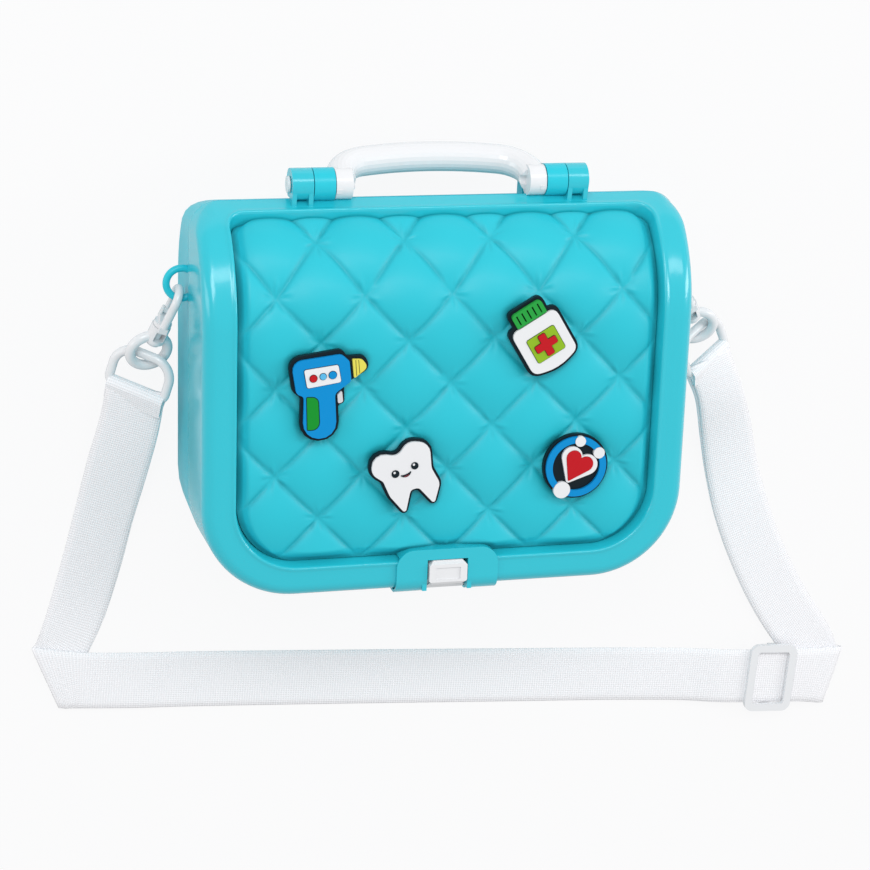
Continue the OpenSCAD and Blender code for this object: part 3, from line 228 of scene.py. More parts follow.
TEAL = (0.018, 0.505, 0.615)
RUBBER = {"rough": 0.45, "coat": 0.05, "spec": 0.14}
MATERIAL = {
    "teal": plastic("teal", TEAL, rough=0.22, coat=0.35),
    # painted light: the rear shell's teal is a lighter copy of the cover's, for the light on its walls
    "shell": plastic("shell", (0.018, 0.53, 0.65), rough=0.30, coat=0.06, spec=0.3),
    # the quilt's colour holds painted shade in its creases
    "quilt": plastic("quilt", TEAL, rough=0.46, coat=0.03, spec=0.32, crease_shade=0.5),
    "white": plastic("white", (0.77, 0.78, 0.80), rough=0.24, coat=0.25, tint=0.01),
    "navy": plastic("navy", (0.004, 0.012, 0.018), **RUBBER),
    "blue": plastic("blue", (0.001, 0.25, 0.60), **RUBBER),
    "sky": plastic("sky", (0.10, 0.45, 0.75), **RUBBER),
    "yellow": plastic("yellow", (0.72, 0.66, 0.10), **RUBBER),
    "green": plastic("green", (0.006, 0.27, 0.025), **RUBBER),
    "cap_green": plastic("cap_green", (0.02, 0.33, 0.05), **RUBBER),
    "lime": plastic("lime", (0.26, 0.46, 0.02), **RUBBER),
    "red": plastic("red", (0.50, 0.008, 0.015), **RUBBER),
    "grey": plastic("grey", (0.60, 0.61, 0.63), **RUBBER),
    "charm_white": plastic("charm_white", (0.76, 0.77, 0.79), rough=0.42, coat=0.1, spec=0.2, tint=0.01),
    "tongue": plastic("tongue", (0.20, 0.03, 0.04), **RUBBER),
    "webbing": webbing("webbing"),
}

# ---------- strap ----------
# the webbing's thickness, its gap to the floor and between layers, and the height of each layer's middle
WEB_T, FLOOR_GAP, LAYER_GAP = 1.4, 0.1, 0.15
Z1 = WEB_T / 2 + FLOOR_GAP
Z2, Z3, Z4 = (Z1 + k * (WEB_T + LAYER_GAP) for k in (1, 2, 3))
# both edges of the webbing at each station, in millimetres. They are the frame's own, but for the last two of
# the floor run, where the webbing is 0.6 mm and 0.7 mm wider and so fills the slider's window
LEFT_RUN = (
    ((-156, 0, 19.5), (-130, -4.5, 29.5)),
    ((-157, -6, 18.2), (-130.5, -11, 27.6)),
    ((-159.5, -22, 13), (-132.5, -29, 21)),
    ((-165, -45, 7), (-137, -54, 11)),
    ((-170, -68, 3), (-142.5, -78, 4)),
    ((-176.5, -95, Z1), (-148.5, -104, Z1)),
    ((-184, -122, Z1), (-157, -131, Z1)),
    ((-188.5, -136, Z1), (-166, -151, Z1)),
    ((-191.2, -143, Z1), (-177, -174, Z1)),
)
LEFT_FOLD = (
    ((-192.4, -144.6, Z1 + 0.1), (-179, -178, Z1 + 0.1)),
    ((-193.2, -145, (Z1 + Z2) / 2), (-180, -178.6, (Z1 + Z2) / 2)),
    ((-192.4, -144.8, Z2 - 0.1), (-179, -178.4, Z2 - 0.1)),
)
FLOOR_RUN = (
    ((-186, -146, Z2), (-177, -178.8, Z2)),
    ((-176, -147.8, Z2), (-172.5, -179, Z2)),
    ((-165, -149.4, Z2), (-167, -179.4, Z2)),
    ((-140, -151.2, Z2), (-142, -181.2, Z2)),
    ((-110, -153.2, Z1 + 0.4), (-112, -183.2, Z1 + 0.4)),
    ((-60, -156.4, Z1), (-62, -186.4, Z1)),
    ((0, -160.2, Z1), (-2, -190.2, Z1)),
    ((60, -164.1, Z1), (58, -194.1, Z1)),
    ((120, -168, Z1), (118, -198, Z1)),
    ((160, -170.6, Z2), (158, -200.6, Z2)),
    ((185, -172.0, Z4), (183, -202.6, Z4)),
    ((222, -174.4, Z4), (220, -205.1, Z4)),
)
RIGHT_FOLD = (
    ((236, -175.4, Z4), (231, -206, Z4)),
    ((249.4, -175.4, Z4), (240.6, -207.4, Z4)),
    ((251.8, -175.5, (Z1 + Z4) / 2), (243, -207.8, (Z1 + Z4) / 2)),
    ((249.4, -175.3, Z1), (240.6, -207, Z1)),
)
RIGHT_RUN = (
    ((246.5, -168.5, Z1), (232, -195, Z1)),
    ((240.5, -158.5, Z1), (220, -180, Z1)),
    ((231, -145, Z1), (207, -163, Z1)),
    ((221, -129, Z1), (195.5, -145, Z1)),
    ((211, -110, Z1), (184, -123, Z1)),
    ((201.5, -88, Z1), (173, -97, Z1)),
    ((193, -64, Z1 + 0.4), (165, -71, Z1 + 1)),
    ((186, -42, 5), (158, -47, 7.5)),
    ((176, -18, 13), (149, -23, 20.5)),
    ((167.5, -2, 17.8), (141, -9, 27.6)),
    ((164.8, 3.8, 19), (139, -3, 29.4)),
)
RETURN_RUN = (
    ((165.4, 4.2, 20.5), (140.4, -2, 31)),
    ((168.2, -1.6, 19.4), (142.4, -8.2, 29.1)),
    ((176.4, -17.4, 14.6), (150, -22.2, 22)),
    ((186.4, -41.6, 6.6), (158.8, -46.4, 9.1)),
    ((193, -64, 2.8), (165.4, -70.8, 3.4)),
    ((201.5, -88, Z2), (173, -97, Z2)),
    ((211, -110, Z2), (184, -123, Z2)),
    ((221, -129, Z2), (195.5, -145, Z2)),
    ((231, -145, Z2), (207, -163, Z2)),
    ((240.5, -158.5, Z2), (220, -180, Z2)),
    ((246.5, -168.5, Z2), (232, -195, Z2)),
    ((249, -175.1, Z2), (240.2, -206.8, Z2)),
    ((249.9, -175.4, (Z2 + Z3) / 2), (241.1, -207.2, (Z2 + Z3) / 2)),
    ((249, -175.6, Z3), (240.2, -207.2, Z3)),
    ((236, -175.4, Z3), (231, -206, Z3)),
    ((213, -174.1, Z3), (211.2, -204, Z3)),
)


def spline(points, step):
    """A Catmull-Rom curve through points, sampled about every step along each stretch."""
    p = np.vstack([2 * points[0] - points[1], points, 2 * points[-1] - points[-2]])
    out = []
    for i in range(1, len(p) - 2):
        n = max(2, int(np.linalg.norm((p[i + 1] - p[i])[:3]) / step))
        for t in np.arange(n) / n:
            out.append(0.5 * (2 * p[i] + (p[i + 1] - p[i - 1]) * t
                              + (2 * p[i - 1] - 5 * p[i] + 4 * p[i + 1] - p[i + 2]) * t ** 2
                              + (3 * p[i] - p[i - 1] - 3 * p[i + 1] + p[i + 2]) * t ** 3))
    out.append(p[-2])
    return np.array(out)


# across the webbing and along it: points, and millimetres between rows
WEB_POINTS, WEB_STEP = 10, 1.5
# how far a selvedge bulges and reaches in, as shares of the width, and its share of the thickness
SELVEDGE_BULGE, SELVEDGE_W, SELVEDGE_T = 0.012, 0.02, 0.8


def ribbon(name, stations):
    """A flat band with rounded selvedges; returns the object and its centreline."""
    rows = spline(np.array([(*a, *b) for a, b in stations], float), WEB_STEP)
    a, b = rows[:, :3], rows[:, 3:]
    mid = (a + b) / 2
    along = np.gradient(mid, axis=0)
    normal = np.cross(along, b - a)
    normal /= np.linalg.norm(normal, axis=1)[:, None]
    travel = np.concatenate([[0], np.cumsum(np.linalg.norm(np.diff(mid, axis=0), axis=1))])
    width = np.linalg.norm(b - a, axis=1)
    t = np.linspace(0, 1, WEB_POINTS)
    profile = [(v, 0.5) for v in t] + [(1 + SELVEDGE_BULGE, 0)]
    profile += [(v, -0.5) for v in t[::-1]] + [(-SELVEDGE_BULGE, 0)]
    verts, uv = [], []
    for i in range(len(rows)):
        for v, h in profile:
            thin = SELVEDGE_T if min(v, 1 - v) < SELVEDGE_W else 1
            verts.append((a[i] + (b[i] - a[i]) * v + normal[i] * h * WEB_T * thin) * MM)
            uv.append((travel[i] * MM, v * width[i] * MM))
    n = len(profile)
    faces = grid_faces(len(rows), n, closed=True)
    faces += [tuple(range(n))[::-1], tuple(range((len(rows) - 1) * n, len(rows) * n))]
    obj = new_mesh(name, verts, faces, uv)
    obj.data.materials.append(MATERIAL["webbing"])
    return obj, mid * MM


MAIN = LEFT_RUN + LEFT_FOLD + FLOOR_RUN + RIGHT_FOLD + RIGHT_RUN


strap, strap_path = ribbon("strap_webbing", MAIN)
strap_back, back_path = ribbon("strap_return_webbing", RETURN_RUN)
for obj, node in ((strap, "strap"), (strap_back, "strap_return")):
    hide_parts(node)
    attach(obj, "case")

# the webbing folds round the bars of its two rings: both ends of each bar, a point down the strap and the
# fold's reach, in millimetres
BAR_FOLDS = {
    "fold_left": ((-155.5, -0.3, 17.1), (-130.3, -9.2, 29.0), (-146, -25.5, 17), 9.0),
    "fold_right": ((141.6, -7.0, 28.4), (163.8, 5.9, 17.3), (163.2, -19.8, 18.3), 7.0),
}
FOLD_R, FOLD_T = 3.75, 1.25
# the angles between which the fold goes round the bar, and its points round it and across it
FOLD_FROM, FOLD_TO, FOLD_POINTS, FOLD_CUTS = 80, 280, 22, 9
# where its two layers run out along the strap: a share of the reach, and the height over the bar's middle
FOLD_UPPER = ((1, 1.1), (0.5, 2.4))
FOLD_LOWER = ((0.5, -2.2), (1, -0.6))


def bar_fold(name, a, b, down, reach):
    """The webbing's loop round a bar from a to b; its profile is swept along the bar."""
    a, b, down = (np.array(v, float) for v in (a, b, down))
    across = (b - a) / np.linalg.norm(b - a)
    along = down - (a + b) / 2
    along -= across * (along @ across)
    along /= np.linalg.norm(along)
    normal = np.cross(along, across)
    turn = np.radians(np.linspace(FOLD_FROM, FOLD_TO, FOLD_POINTS))
    wrap = [(FOLD_R * math.cos(t), FOLD_R * math.sin(t)) for t in turn]
    outer = np.array([(reach * share, h) for share, h in FOLD_UPPER] + wrap
                     + [(reach * share, h) for share, h in FOLD_LOWER])
    way = np.gradient(outer, axis=0)
    way /= np.linalg.norm(way, axis=1)[:, None]
    inner = outer + np.column_stack([-way[:, 1], way[:, 0]]) * FOLD_T
    profile = np.vstack([outer, inner[::-1]])
    travel = np.concatenate([[0], np.cumsum(np.linalg.norm(np.diff(profile, axis=0), axis=1))])
    cuts = np.linspace(0, np.linalg.norm(b - a), FOLD_CUTS)
    verts, uv = [], []
    for c in cuts:
        for (x, z), t in zip(profile, travel):
            verts.append((a + across * c + along * x + normal * z) * MM)
            uv.append((t * MM, c * MM))
    n = len(profile)
    faces = grid_faces(len(cuts), n, closed=True)
    faces += [tuple(range(n))[::-1], tuple(range((len(cuts) - 1) * n, len(cuts) * n))]
    obj = split_edges(new_mesh(name, verts, faces, uv), 45)
    obj.data.materials.append(MATERIAL["webbing"])
    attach(obj, "case")


for fold, ends in BAR_FOLDS.items():
    bar_fold(fold, *ends)

# ---------- quilted cover ----------
# the frame's own sizes, in millimetres
CASE_W, CASE_H, REAR_D, COVER_D = 242.0, 188.0, 46.0, 39.0
WALL, BOTTOM_R, TOP_R, EDGE_R, RIM_W = 2.4, 46.0, 14.0, 6.5, 16.5
ROLL_Y, PART_GAP, RECESS, DRAFT, BEAD = 39.0, 0.3, 7.0, 0.9, 0.5
PILLOW_H, QUILT_X, QUILT_Y, QUILT_Y0, PANEL_T = 5.4, 42.5, 43.3, 9.9, 2.0
TOP_Y, FRONT_Z, PART_Z = CASE_H / 2, REAR_D + COVER_D, REAR_D + PART_GAP
ROLL_R = ((TOP_Y - ROLL_Y) ** 2 + (FRONT_Z - PART_Z) ** 2) / (2 * (FRONT_Z - PART_Z))
ROLL_Z = FRONT_Z - ROLL_R
STITCH_R, STITCH_Z = ROLL_R - RECESS, FRONT_Z - RECESS
# the recess for the panel: how far its lower end lies below the rim's edge, and the degrees of the roll that
# it covers; then half its width, both ends up the sheet, and its lower and upper corners
PANEL_DROP, PANEL_ROLL = 0.4, 60.5
PANEL_HW, PANEL_S0 = CASE_W / 2 - RIM_W, -TOP_Y + RIM_W - PANEL_DROP
PANEL_S1 = ROLL_Y + STITCH_R * math.radians(PANEL_ROLL)
PANEL_R0, PANEL_R1 = BOTTOM_R - 15, TOP_R - 6


def bend(x, s, n):
    """The panel's sheet rolls over the top: s runs up the sheet, n stands on it."""
    x, s, n = np.broadcast_arrays(np.asarray(x, float), s, n)
    a = np.maximum(s - ROLL_Y, 0) / STITCH_R
    y = np.where(s <= ROLL_Y, s, ROLL_Y + (STITCH_R + n) * np.sin(a))
    z = np.where(s <= ROLL_Y, STITCH_Z + n, ROLL_Z + (STITCH_R + n) * np.cos(a))
    return np.stack([x, y, z], axis=-1)


def arc(cx, cy, r, a0, a1, n):
    """Points of an arc from a0 to a1 degrees, with n steps between them."""
    a = np.radians(np.linspace(a0, a1, n + 1))
    return np.stack([cx + r * np.cos(a), cy + r * np.sin(a)], axis=1)


# steps in each lower corner, each upper one and each side, and where the lower edge has points
CORNER_N, TOP_N, SIDE_N = 28, 14, 30
FLATS = np.array([-26, -12.5, 0, 12.5, 26])
# the case's side points close up towards its top, where the front rolls back; the least corner radii
SIDE_EASE = 0.75
OUTLINE_LEAST_R, SHEET_LEAST_R = 1, 1.2


def loop(hw, y0, y1, r0, r1, rolled):
    """A rounded rectangle whose point count doesn't depend on its size."""
    f = np.arange(SIDE_N) / SIDE_N
    if rolled:
        up = ROLL_Y + (y1 - r1 - ROLL_Y) * f
    else:
        end = math.atan2(TOP_Y - TOP_R - ROLL_Y, ROLL_R * SIDE_EASE)
        up = ROLL_Y + (y1 - r1 - ROLL_Y) * np.sin(end * f) / math.sin(end)
    side = np.stack([np.full(SIDE_N, hw), up], axis=1)
    return np.vstack([
        arc(-hw + r0, y0 + r0, r0, 180, 270, CORNER_N),
        np.stack([FLATS, np.full(len(FLATS), y0)], axis=1),
        arc(hw - r0, y0 + r0, r0, 270, 360, CORNER_N), side,
        arc(hw - r1, y1 - r1, r1, 0, 90, TOP_N), arc(-hw + r1, y1 - r1, r1, 90, 180, TOP_N),
        side[::-1] * (-1, 1)])


def outline(d):
    """The case's outline, drawn in by d."""
    return loop(CASE_W / 2 - d, -TOP_Y + d, TOP_Y - d, max(BOTTOM_R - d, OUTLINE_LEAST_R),
                max(TOP_R - d, OUTLINE_LEAST_R), False)


def sheet(d, n):
    """The recess's outline, drawn in by d and n over the sheet."""
    p = loop(PANEL_HW - d, PANEL_S0 + d, PANEL_S1 - d, PANEL_R0 - d, max(PANEL_R1 - d, SHEET_LEAST_R), True)
    return bend(p[:, 0], p[:, 1], n)


def front_at(y, off=0.0):
    """Height of the cover's front at y, or of a surface that lies off behind it."""
    return np.where(y <= ROLL_Y, FRONT_Z - off,
                    ROLL_Z + np.sqrt(np.maximum((ROLL_R - off) ** 2 - (y - ROLL_Y) ** 2, 0)))


# the least height of wall that counts, the shares of it that the rounding and the draft may take, and the
# rounding's rings
LEAST_WALL, EDGE_SHARE, DRAFT_SHARE, EDGE_RINGS = 0.7, 0.7, 0.1, 10
# how far the rim's outer and inner faces stay over the parting plane, how far the inner face drops at the
# wall, and where on the way there it has one more ring
EDGE_LIFT, INSIDE_LIFT, INSIDE_DROP, INSIDE_SHARE = 0.4, 0.2, 4, 0.65
# from the front over the bead, into the recess, round the ledge under the panel and back: how far each ring
# lies inside the recess's outline, and its height over the sheet
LEDGE_TOP, LEDGE_FOOT = -PANEL_T - 0.2, -PANEL_T - 2.2
RIM_STEPS = (
    (-5, RECESS), (-2.6, RECESS), (-1.7, RECESS + 0.12), (-1.1, RECESS + BEAD), (-0.5, RECESS + BEAD),
    (0.0, RECESS + 0.1), (0.35, RECESS - 0.9), (1.5, LEDGE_TOP), (5, LEDGE_TOP), (5, LEDGE_FOOT),
    (-1.8, LEDGE_FOOT), (-2.2, RECESS - WALL),
)
LATCH_GAP_HW = 12.4


def cover_edge(a):
    """One ring of the front edge's rounding, at angle a from the wall."""
    outer, mouth = outline(0), sheet(0, RECESS)[:, :2]
    inwards = (mouth - outer) / np.linalg.norm(mouth - outer, axis=1)[:, None]
    wall = np.maximum(front_at(outer[:, 1]) - PART_Z, LEAST_WALL)
    r = np.minimum(EDGE_R, EDGE_SHARE * wall)
    ring = outer + inwards * (np.minimum(DRAFT, DRAFT_SHARE * wall) + r * (1 - math.cos(a)))[:, None]
    z = np.maximum(PART_Z + EDGE_LIFT, front_at(ring[:, 1]) - r * (1 - math.sin(a)))
    return np.column_stack([ring, z])


def build_cover_frame():
    """The cover's rim: closed rings from its outer foot over the front and back to its inner foot."""
    rings = [np.column_stack([outline(0), np.full(len(outline(0)), PART_Z)])]
    rings += [cover_edge(a) for a in np.radians(np.linspace(0, 90, EDGE_RINGS))]
    rings += [sheet(d, n) for d, n in RIM_STEPS]
    low, near = outline(WALL), rings[-1][:, :2]
    part_way = near + (low - near) * INSIDE_SHARE
    least = PART_Z + INSIDE_LIFT
    rings += [np.column_stack([part_way, np.maximum(least, front_at(part_way[:, 1], WALL))]),
              np.column_stack([low, np.maximum(least, front_at(low[:, 1], WALL) - INSIDE_DROP)]),
              np.column_stack([low, np.full(len(low), PART_Z)])]
    n, cols = len(rings), len(low)
    faces = grid_faces(n, cols, closed=True)
    faces += [((n - 1) * cols + j, (n - 1) * cols + (j + 1) % cols, (j + 1) % cols, j) for j in range(cols)]
    pts = np.vstack(rings)
    # open the rim where the latch passes through
    middles = [pts[list(f)].mean(axis=0) for f in faces]
    faces = [f for f, m in zip(faces, middles) if not (abs(m[0]) < LATCH_GAP_HW and m[1] < 0)]
    obj = new_mesh("cover_rim", pts * MM, faces)
    split_edges(obj, 50)
    obj.data.materials.append(MATERIAL["teal"])
    return obj


# rows above this one are further apart, where the sheet rolls back
ROLL_ROW, ROLL_STRETCH = 2, 1.228
# a pillow is a full form and a plain dome in these shares; the power makes the full form's sides steep, and
# the last value softens the creases
FULL_SHARE, FULL_POWER, DOME_SHARE, CREASE_SOFT = 0.84, 0.32, 0.16, 0.0012
# the small folds round a stitch point: their distance from it, reach and height, how many go round it in
# each of two sets, the second set's share of the height, and how their start changes from point to point
PINCH_AT, PINCH_REACH, PINCH_H = 4.6, 2.6, 0.22
PINCH_FOLDS, PINCH_MORE_FOLDS, PINCH_MORE_SHARE = 6, 11, 0.6
PINCH_SHIFT_I, PINCH_SHIFT_J = 2.4, 1.7


def pillow(x, s):
    """Height over the stitch points, for diamonds of half pitch QUILT_X/2 by QUILT_Y/2."""
    v = (s - QUILT_Y0) / (QUILT_Y / 2)
    v = np.where(v <= ROLL_ROW, v, ROLL_ROW + (v - ROLL_ROW) / ROLL_STRETCH)
    u = x / (QUILT_X / 2)
    a = np.sqrt(np.sin(math.pi / 2 * (u + v)) ** 2 + CREASE_SOFT)
    b = np.sqrt(np.sin(math.pi / 2 * (u - v)) ** 2 + CREASE_SOFT)
    pillows = FULL_SHARE * (a * b) ** FULL_POWER + DOME_SHARE * (a * a + b * b) / 2
    return PILLOW_H * pillows + pinches(u, v)


def pinches(u, v):
    """Small folds that run out of each stitch point, different at each one."""
    i, j = np.round((u + v) / 2), np.round((u - v) / 2)
    du, dv = (u - (i + j)) * QUILT_X / 2, (v - (i - j)) * QUILT_Y / 2
    r, a = np.hypot(du, dv), np.arctan2(dv, du)
    shift = PINCH_SHIFT_I * i + PINCH_SHIFT_J * j
    fade = np.exp(-((r - PINCH_AT) / PINCH_REACH) ** 2)
    more = PINCH_MORE_SHARE * np.sin(PINCH_MORE_FOLDS * a + 2 * shift)
    return PINCH_H * fade * (np.sin(PINCH_FOLDS * a + shift) + more)


# the panel's gap to its recess, its rows and columns, and how much closer together they are at its edges
PANEL_GAP, PANEL_ROWS, PANEL_COLS, ROW_CLOSE, COL_CLOSE = 1.6, 300, 300, 0.55, 0.12
# the quilting's height over the sheet, and how it fades in from the panel's edge
QUILT_LIFT, FADE_START, FADE_W = 0.3, 0.6, 6.5


def build_panel():
    """The quilted panel: a grid of pillows, a skirt round it and a plain back."""
    rows, cols = PANEL_ROWS, PANEL_COLS
    hw, s0, s1 = PANEL_HW - PANEL_GAP, PANEL_S0 + PANEL_GAP, PANEL_S1 - PANEL_GAP
    r0, r1 = PANEL_R0 - PANEL_GAP, PANEL_R1 - PANEL_GAP
    # rows close together at both ends, where the corners turn
    t = np.linspace(0, 1, rows)
    s = s0 + (s1 - s0) * (t - np.sin(2 * math.pi * t) / (2 * math.pi) * ROW_CLOSE)
    low, high = np.clip(s - s0, 0, r0), np.clip(s1 - s, 0, r1)
    half = hw - (r0 - np.sqrt(r0 ** 2 - (r0 - low) ** 2)) - (r1 - np.sqrt(r1 ** 2 - (r1 - high) ** 2))
    c = np.linspace(-1, 1, cols)
    c = c + COL_CLOSE * np.sin(math.pi * c) / math.pi
    x, s = half[:, None] * c, np.repeat(s[:, None], cols, 1)
    d = np.minimum(half[:, None] - np.abs(x), s - s0)
    f = np.clip((d + FADE_START) / FADE_W, 0, 1)
    h = QUILT_LIFT + pillow(x, s) * f * f * (3 - 2 * f)
    top = bend(x, s, h).reshape(-1, 3)
    edge = list(range(cols)) + [i * cols + cols - 1 for i in range(1, rows)]
    edge += [rows * cols - 1 - i for i in range(1, cols)] + [i * cols for i in range(rows - 2, 0, -1)]
    skirt = bend(x, s, -PANEL_T).reshape(-1, 3)[edge]
    n = len(top)
    faces = grid_faces(rows, cols)
    k = len(edge)
    faces += [(edge[j], n + j, n + (j + 1) % k, edge[(j + 1) % k]) for j in range(k)]
    # the back is plain strips across the sheet, between the skirt's left and right points
    right = [n + cols - 1 + i for i in range(rows)]
    left = [n + (k - i) % k for i in range(rows)]
    faces += [(left[i], left[i + 1], right[i + 1], right[i]) for i in range(1, rows - 2)]
    first_row = [n + j for j in range(cols - 1, -1, -1)]
    last_row = [n + j for j in range(2 * cols + rows - 3, cols + rows - 3, -1)]
    faces.append(tuple(first_row + [left[1], right[1]]))
    faces.append(tuple([left[-2]] + last_row + [right[-2]]))
    obj = new_mesh("quilted_cover_panel", np.vstack([top, skirt]) * MM, faces)
    split_edges(obj, 60)
    obj.data.materials.append(MATERIAL["quilt"])
    return obj


rim = build_cover_frame()
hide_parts("cover_frame")
panel = build_panel()
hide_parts("quilted_panel")
for obj in (rim, panel):
    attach(obj, "cover")

# ---------- CAD nodes: finish ----------
FINISH = {
    "shell": ("rear_shell",), "teal": ("hinge_ear_left", "hinge_ear_right", "latch_boss"),
    "white": ("latch_tongue", "latch_pin", "handle", "hinge_pin_left", "hinge_pin_right", "hook_left",
              "hook_right", "gate_left", "gate_right", "swivel_left", "swivel_right", "strap_ring_left",
              "strap_ring_right", "strap_slider"),
    "navy": ("thermometer_base", "bottle_base", "tooth_base", "badge_base"),
    "blue": ("thermometer_body", "badge_ring"), "yellow": ("thermometer_nose",),
    "green": ("thermometer_grip",), "cap_green": ("bottle_cap",), "lime": ("bottle_label",),
    "red": ("bottle_cross", "badge_heart", "thermometer_buttons"), "grey": ("thermometer_trigger",),
    "charm_white": ("bottle_body", "tooth_enamel", "badge_border", "badge_dots", "thermometer_screen"),
}
CHARMS = ("thermometer", "bottle", "tooth", "badge")
# how far each piece's edges are rounded, in millimetres; the two widths after it are for pieces not in it
EDGE = {
    "latch_boss": 0.9, "latch_tongue": 1.1, "strap_slider": 0.9, "rear_shell": 0.0, "handle": 0.0,
    "hinge_pin_left": 0.3, "hinge_pin_right": 0.3, "hinge_ear_left": 0.4, "hinge_ear_right": 0.4,
    "thermometer_screen": 0.2, "bottle_label": 0.15, "thermometer_buttons": 0.2,
}
CHARM_EDGE, OTHER_EDGE = 0.45, 0.25
# degrees: edges that turn by more than the first are rounded, and those left over the second look sharp
ROUNDED_FROM, SHARP_FROM = 40, 38
for finish, names in FINISH.items():
    for name in names:
        node = NODES[name]
        node.data.materials.clear()
        node.data.materials.append(MATERIAL[finish])
        node.data.polygons.foreach_set("use_smooth", [True] * len(node.data.polygons))
        charm = name.split("_")[0] in CHARMS
        width = EDGE.get(name, CHARM_EDGE if charm else OTHER_EDGE)
        if width:
            bevel = node.modifiers.new("edge", "BEVEL")
            bevel.width = width * MM
            bevel.segments = 3
            bevel.limit_method = "ANGLE"
            bevel.angle_limit = math.radians(ROUNDED_FROM)
            bevel.use_clamp_overlap = True
        split_edges(node, SHARP_FROM)

# ---------- charms: printed lines, buttons and the tooth's smile ----------
# a face counts as a piece's top if it points up this much and lies within this many metres of the highest;
# points are matched on a grid of this many to the metre
UPWARDS, SAME_LEVEL, GRID = 0.99, 0.00005, 1e6


def top_outline(node):
    """Closed outlines of a flat piece's top, as lists of points in metres, counter-clockwise outside."""
    mesh = node.data
    place = node.matrix_world
    tops = [f for f in mesh.polygons if f.normal.z > UPWARDS]
    high = max((place @ f.center).z for f in tops)
    edges = {}
    for f in tops:
        if (place @ f.center).z < high - SAME_LEVEL:
            continue
        keys = [tuple(round(c * GRID) for c in place @ mesh.vertices[i].co) for i in f.vertices]
        for a, b in zip(keys, keys[1:] + keys[:1]):
            if (b, a) in edges:
                del edges[(b, a)]
            else:
                edges[(a, b)] = True
    after = {a: b for a, b in edges}
    loops = []
    while after:
        start, b = after.popitem()
        ring = [start]
        while b != start and b in after:
            ring.append(b)
            b = after.pop(b)
        loops.append(np.array(ring, float) / GRID)
    return loops


# in metres: a line's width outside the outline, its height over a top and over a foot, and the width of the
# nose's lines
LINE_W, OVER_TOP, OVER_FOOT, NOSE_LINE_W = 0.00028, 0.00003, 0.00006, 0.0002
# a line also reaches in over the outline, by this share of its width
LINE_INSIDE = 0.35


def printed_line(name, ring, z, width, body, closed=True):
    """A thin flat line that runs round a piece."""
    pts = ring[:, :2]
    ahead = np.roll(pts, -1, 0) - pts
    behind = pts - np.roll(pts, 1, 0)
    if not closed:
        ahead[-1], behind[0] = behind[-1], ahead[0]
    way = ahead / np.linalg.norm(ahead, axis=1)[:, None] + behind / np.linalg.norm(behind, axis=1)[:, None]
    way /= np.linalg.norm(way, axis=1)[:, None]
    side = np.column_stack([way[:, 1], -way[:, 0]]) * width
    n = len(pts)
    verts = [(*q, z) for q in pts - side * LINE_INSIDE] + [(*q, z) for q in pts + side]
    faces = [(j, n + j, n + (j + 1) % n, (j + 1) % n) for j in range(n if closed else n - 1)]
    obj = new_mesh(name, verts, faces, smooth=False)
    obj.data.materials.append(MATERIAL["navy"])
    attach(obj, body)


# pieces with a printed line round them, and whether it lies on their top or at their foot
LINED = (
    ("thermometer_screen", False), ("thermometer_grip", True), ("thermometer_buttons", False),
    ("bottle_label", False), ("bottle_cross", False),
)
for name, at_top in LINED:
    node = NODES[name]
    corners = [(node.matrix_world @ Vector(c)).z for c in node.bound_box]
    level = max(corners) + OVER_TOP if at_top else min(corners) + OVER_FOOT
    for i, ring in enumerate(top_outline(node)):
        printed_line("line_%s_%d" % (name, i), ring, level, LINE_W, name.split("_")[0])


def pillow_at(i, j):
    """The middle of a pillow, i half pitches across and j up."""
    return np.array((i * QUILT_X / 2, QUILT_Y0 + j * QUILT_Y / 2))


# the middles of two charms and the height of their faces, then both ends of the lines across the
# thermometer's nose, in millimetres from its middle
THERMOMETER, TOOTH = pillow_at(-3, 0), pillow_at(-1, -2)
FACE_TOP = 87.9
NOSE_LINES = ((15.5, 7.9, 14.9, 15.6), (17.0, 9.0, 16.3, 15.6))
NOSE_LINE_Z = FACE_TOP + 0.03
for i, (x0, y0, x1, y1) in enumerate(NOSE_LINES):
    ends = np.array([(*(THERMOMETER + (x0, y0)), 0), (*(THERMOMETER + (x1, y1)), 0)]) * MM
    printed_line("line_nose_%d" % i, ends, NOSE_LINE_Z * MM, NOSE_LINE_W, "thermometer", closed=False)

# three buttons in a row, red, sky and blue, and where one ends and the next begins, from the charm's middle
BUTTON_SPLITS = (-3, 1.5)
buttons = NODES["thermometer_buttons"]
buttons.data.materials.append(MATERIAL["sky"])
buttons.data.materials.append(MATERIAL["blue"])
for face in buttons.data.polygons:
    x = (buttons.matrix_world @ face.center).x / MM - THERMOMETER[0]
    face.material_index = int(np.searchsorted(BUTTON_SPLITS, x, side="right"))


# heights of the eyes and smile and of what lies on them, and how far their edges are rounded
PATCH_H, DETAIL_H, PATCH_EDGE = 0.35, 0.08, 0.12
DETAIL_Z = FACE_TOP + 0.3


def patch(name, points, z, mat, height=PATCH_H):
    """A flat raised shape on the tooth, with a softened edge."""
    n = len(points)
    verts = [((x + TOOTH[0]) * MM, (y + TOOTH[1]) * MM, h * MM) for h in (z, z + height) for x, y in points]
    faces = [tuple(range(n, 2 * n)), tuple(range(n))[::-1]]
    faces += [(j, (j + 1) % n, n + (j + 1) % n, n + j) for j in range(n)]
    obj = new_mesh(name, verts, faces)
    bevel = obj.modifiers.new("edge", "BEVEL")
    bevel.width = PATCH_EDGE * MM
    bevel.segments = 2
    bevel.limit_method = "ANGLE"
    split_edges(obj, 50)
    obj.data.materials.append(mat)
    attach(obj, "tooth")
    return obj


def disc(x, y, r, n=28):
    return arc(x, y, r, 0, 360, n)[:-1]


# the smile: the middle of its arc, how far it is turned with the tooth, its depth at the ends and its points
SMILE_AT, SMILE_TURN, SMILE_END, SMILE_POINTS = (-2.23, 2.93), 22, 0.5, 17


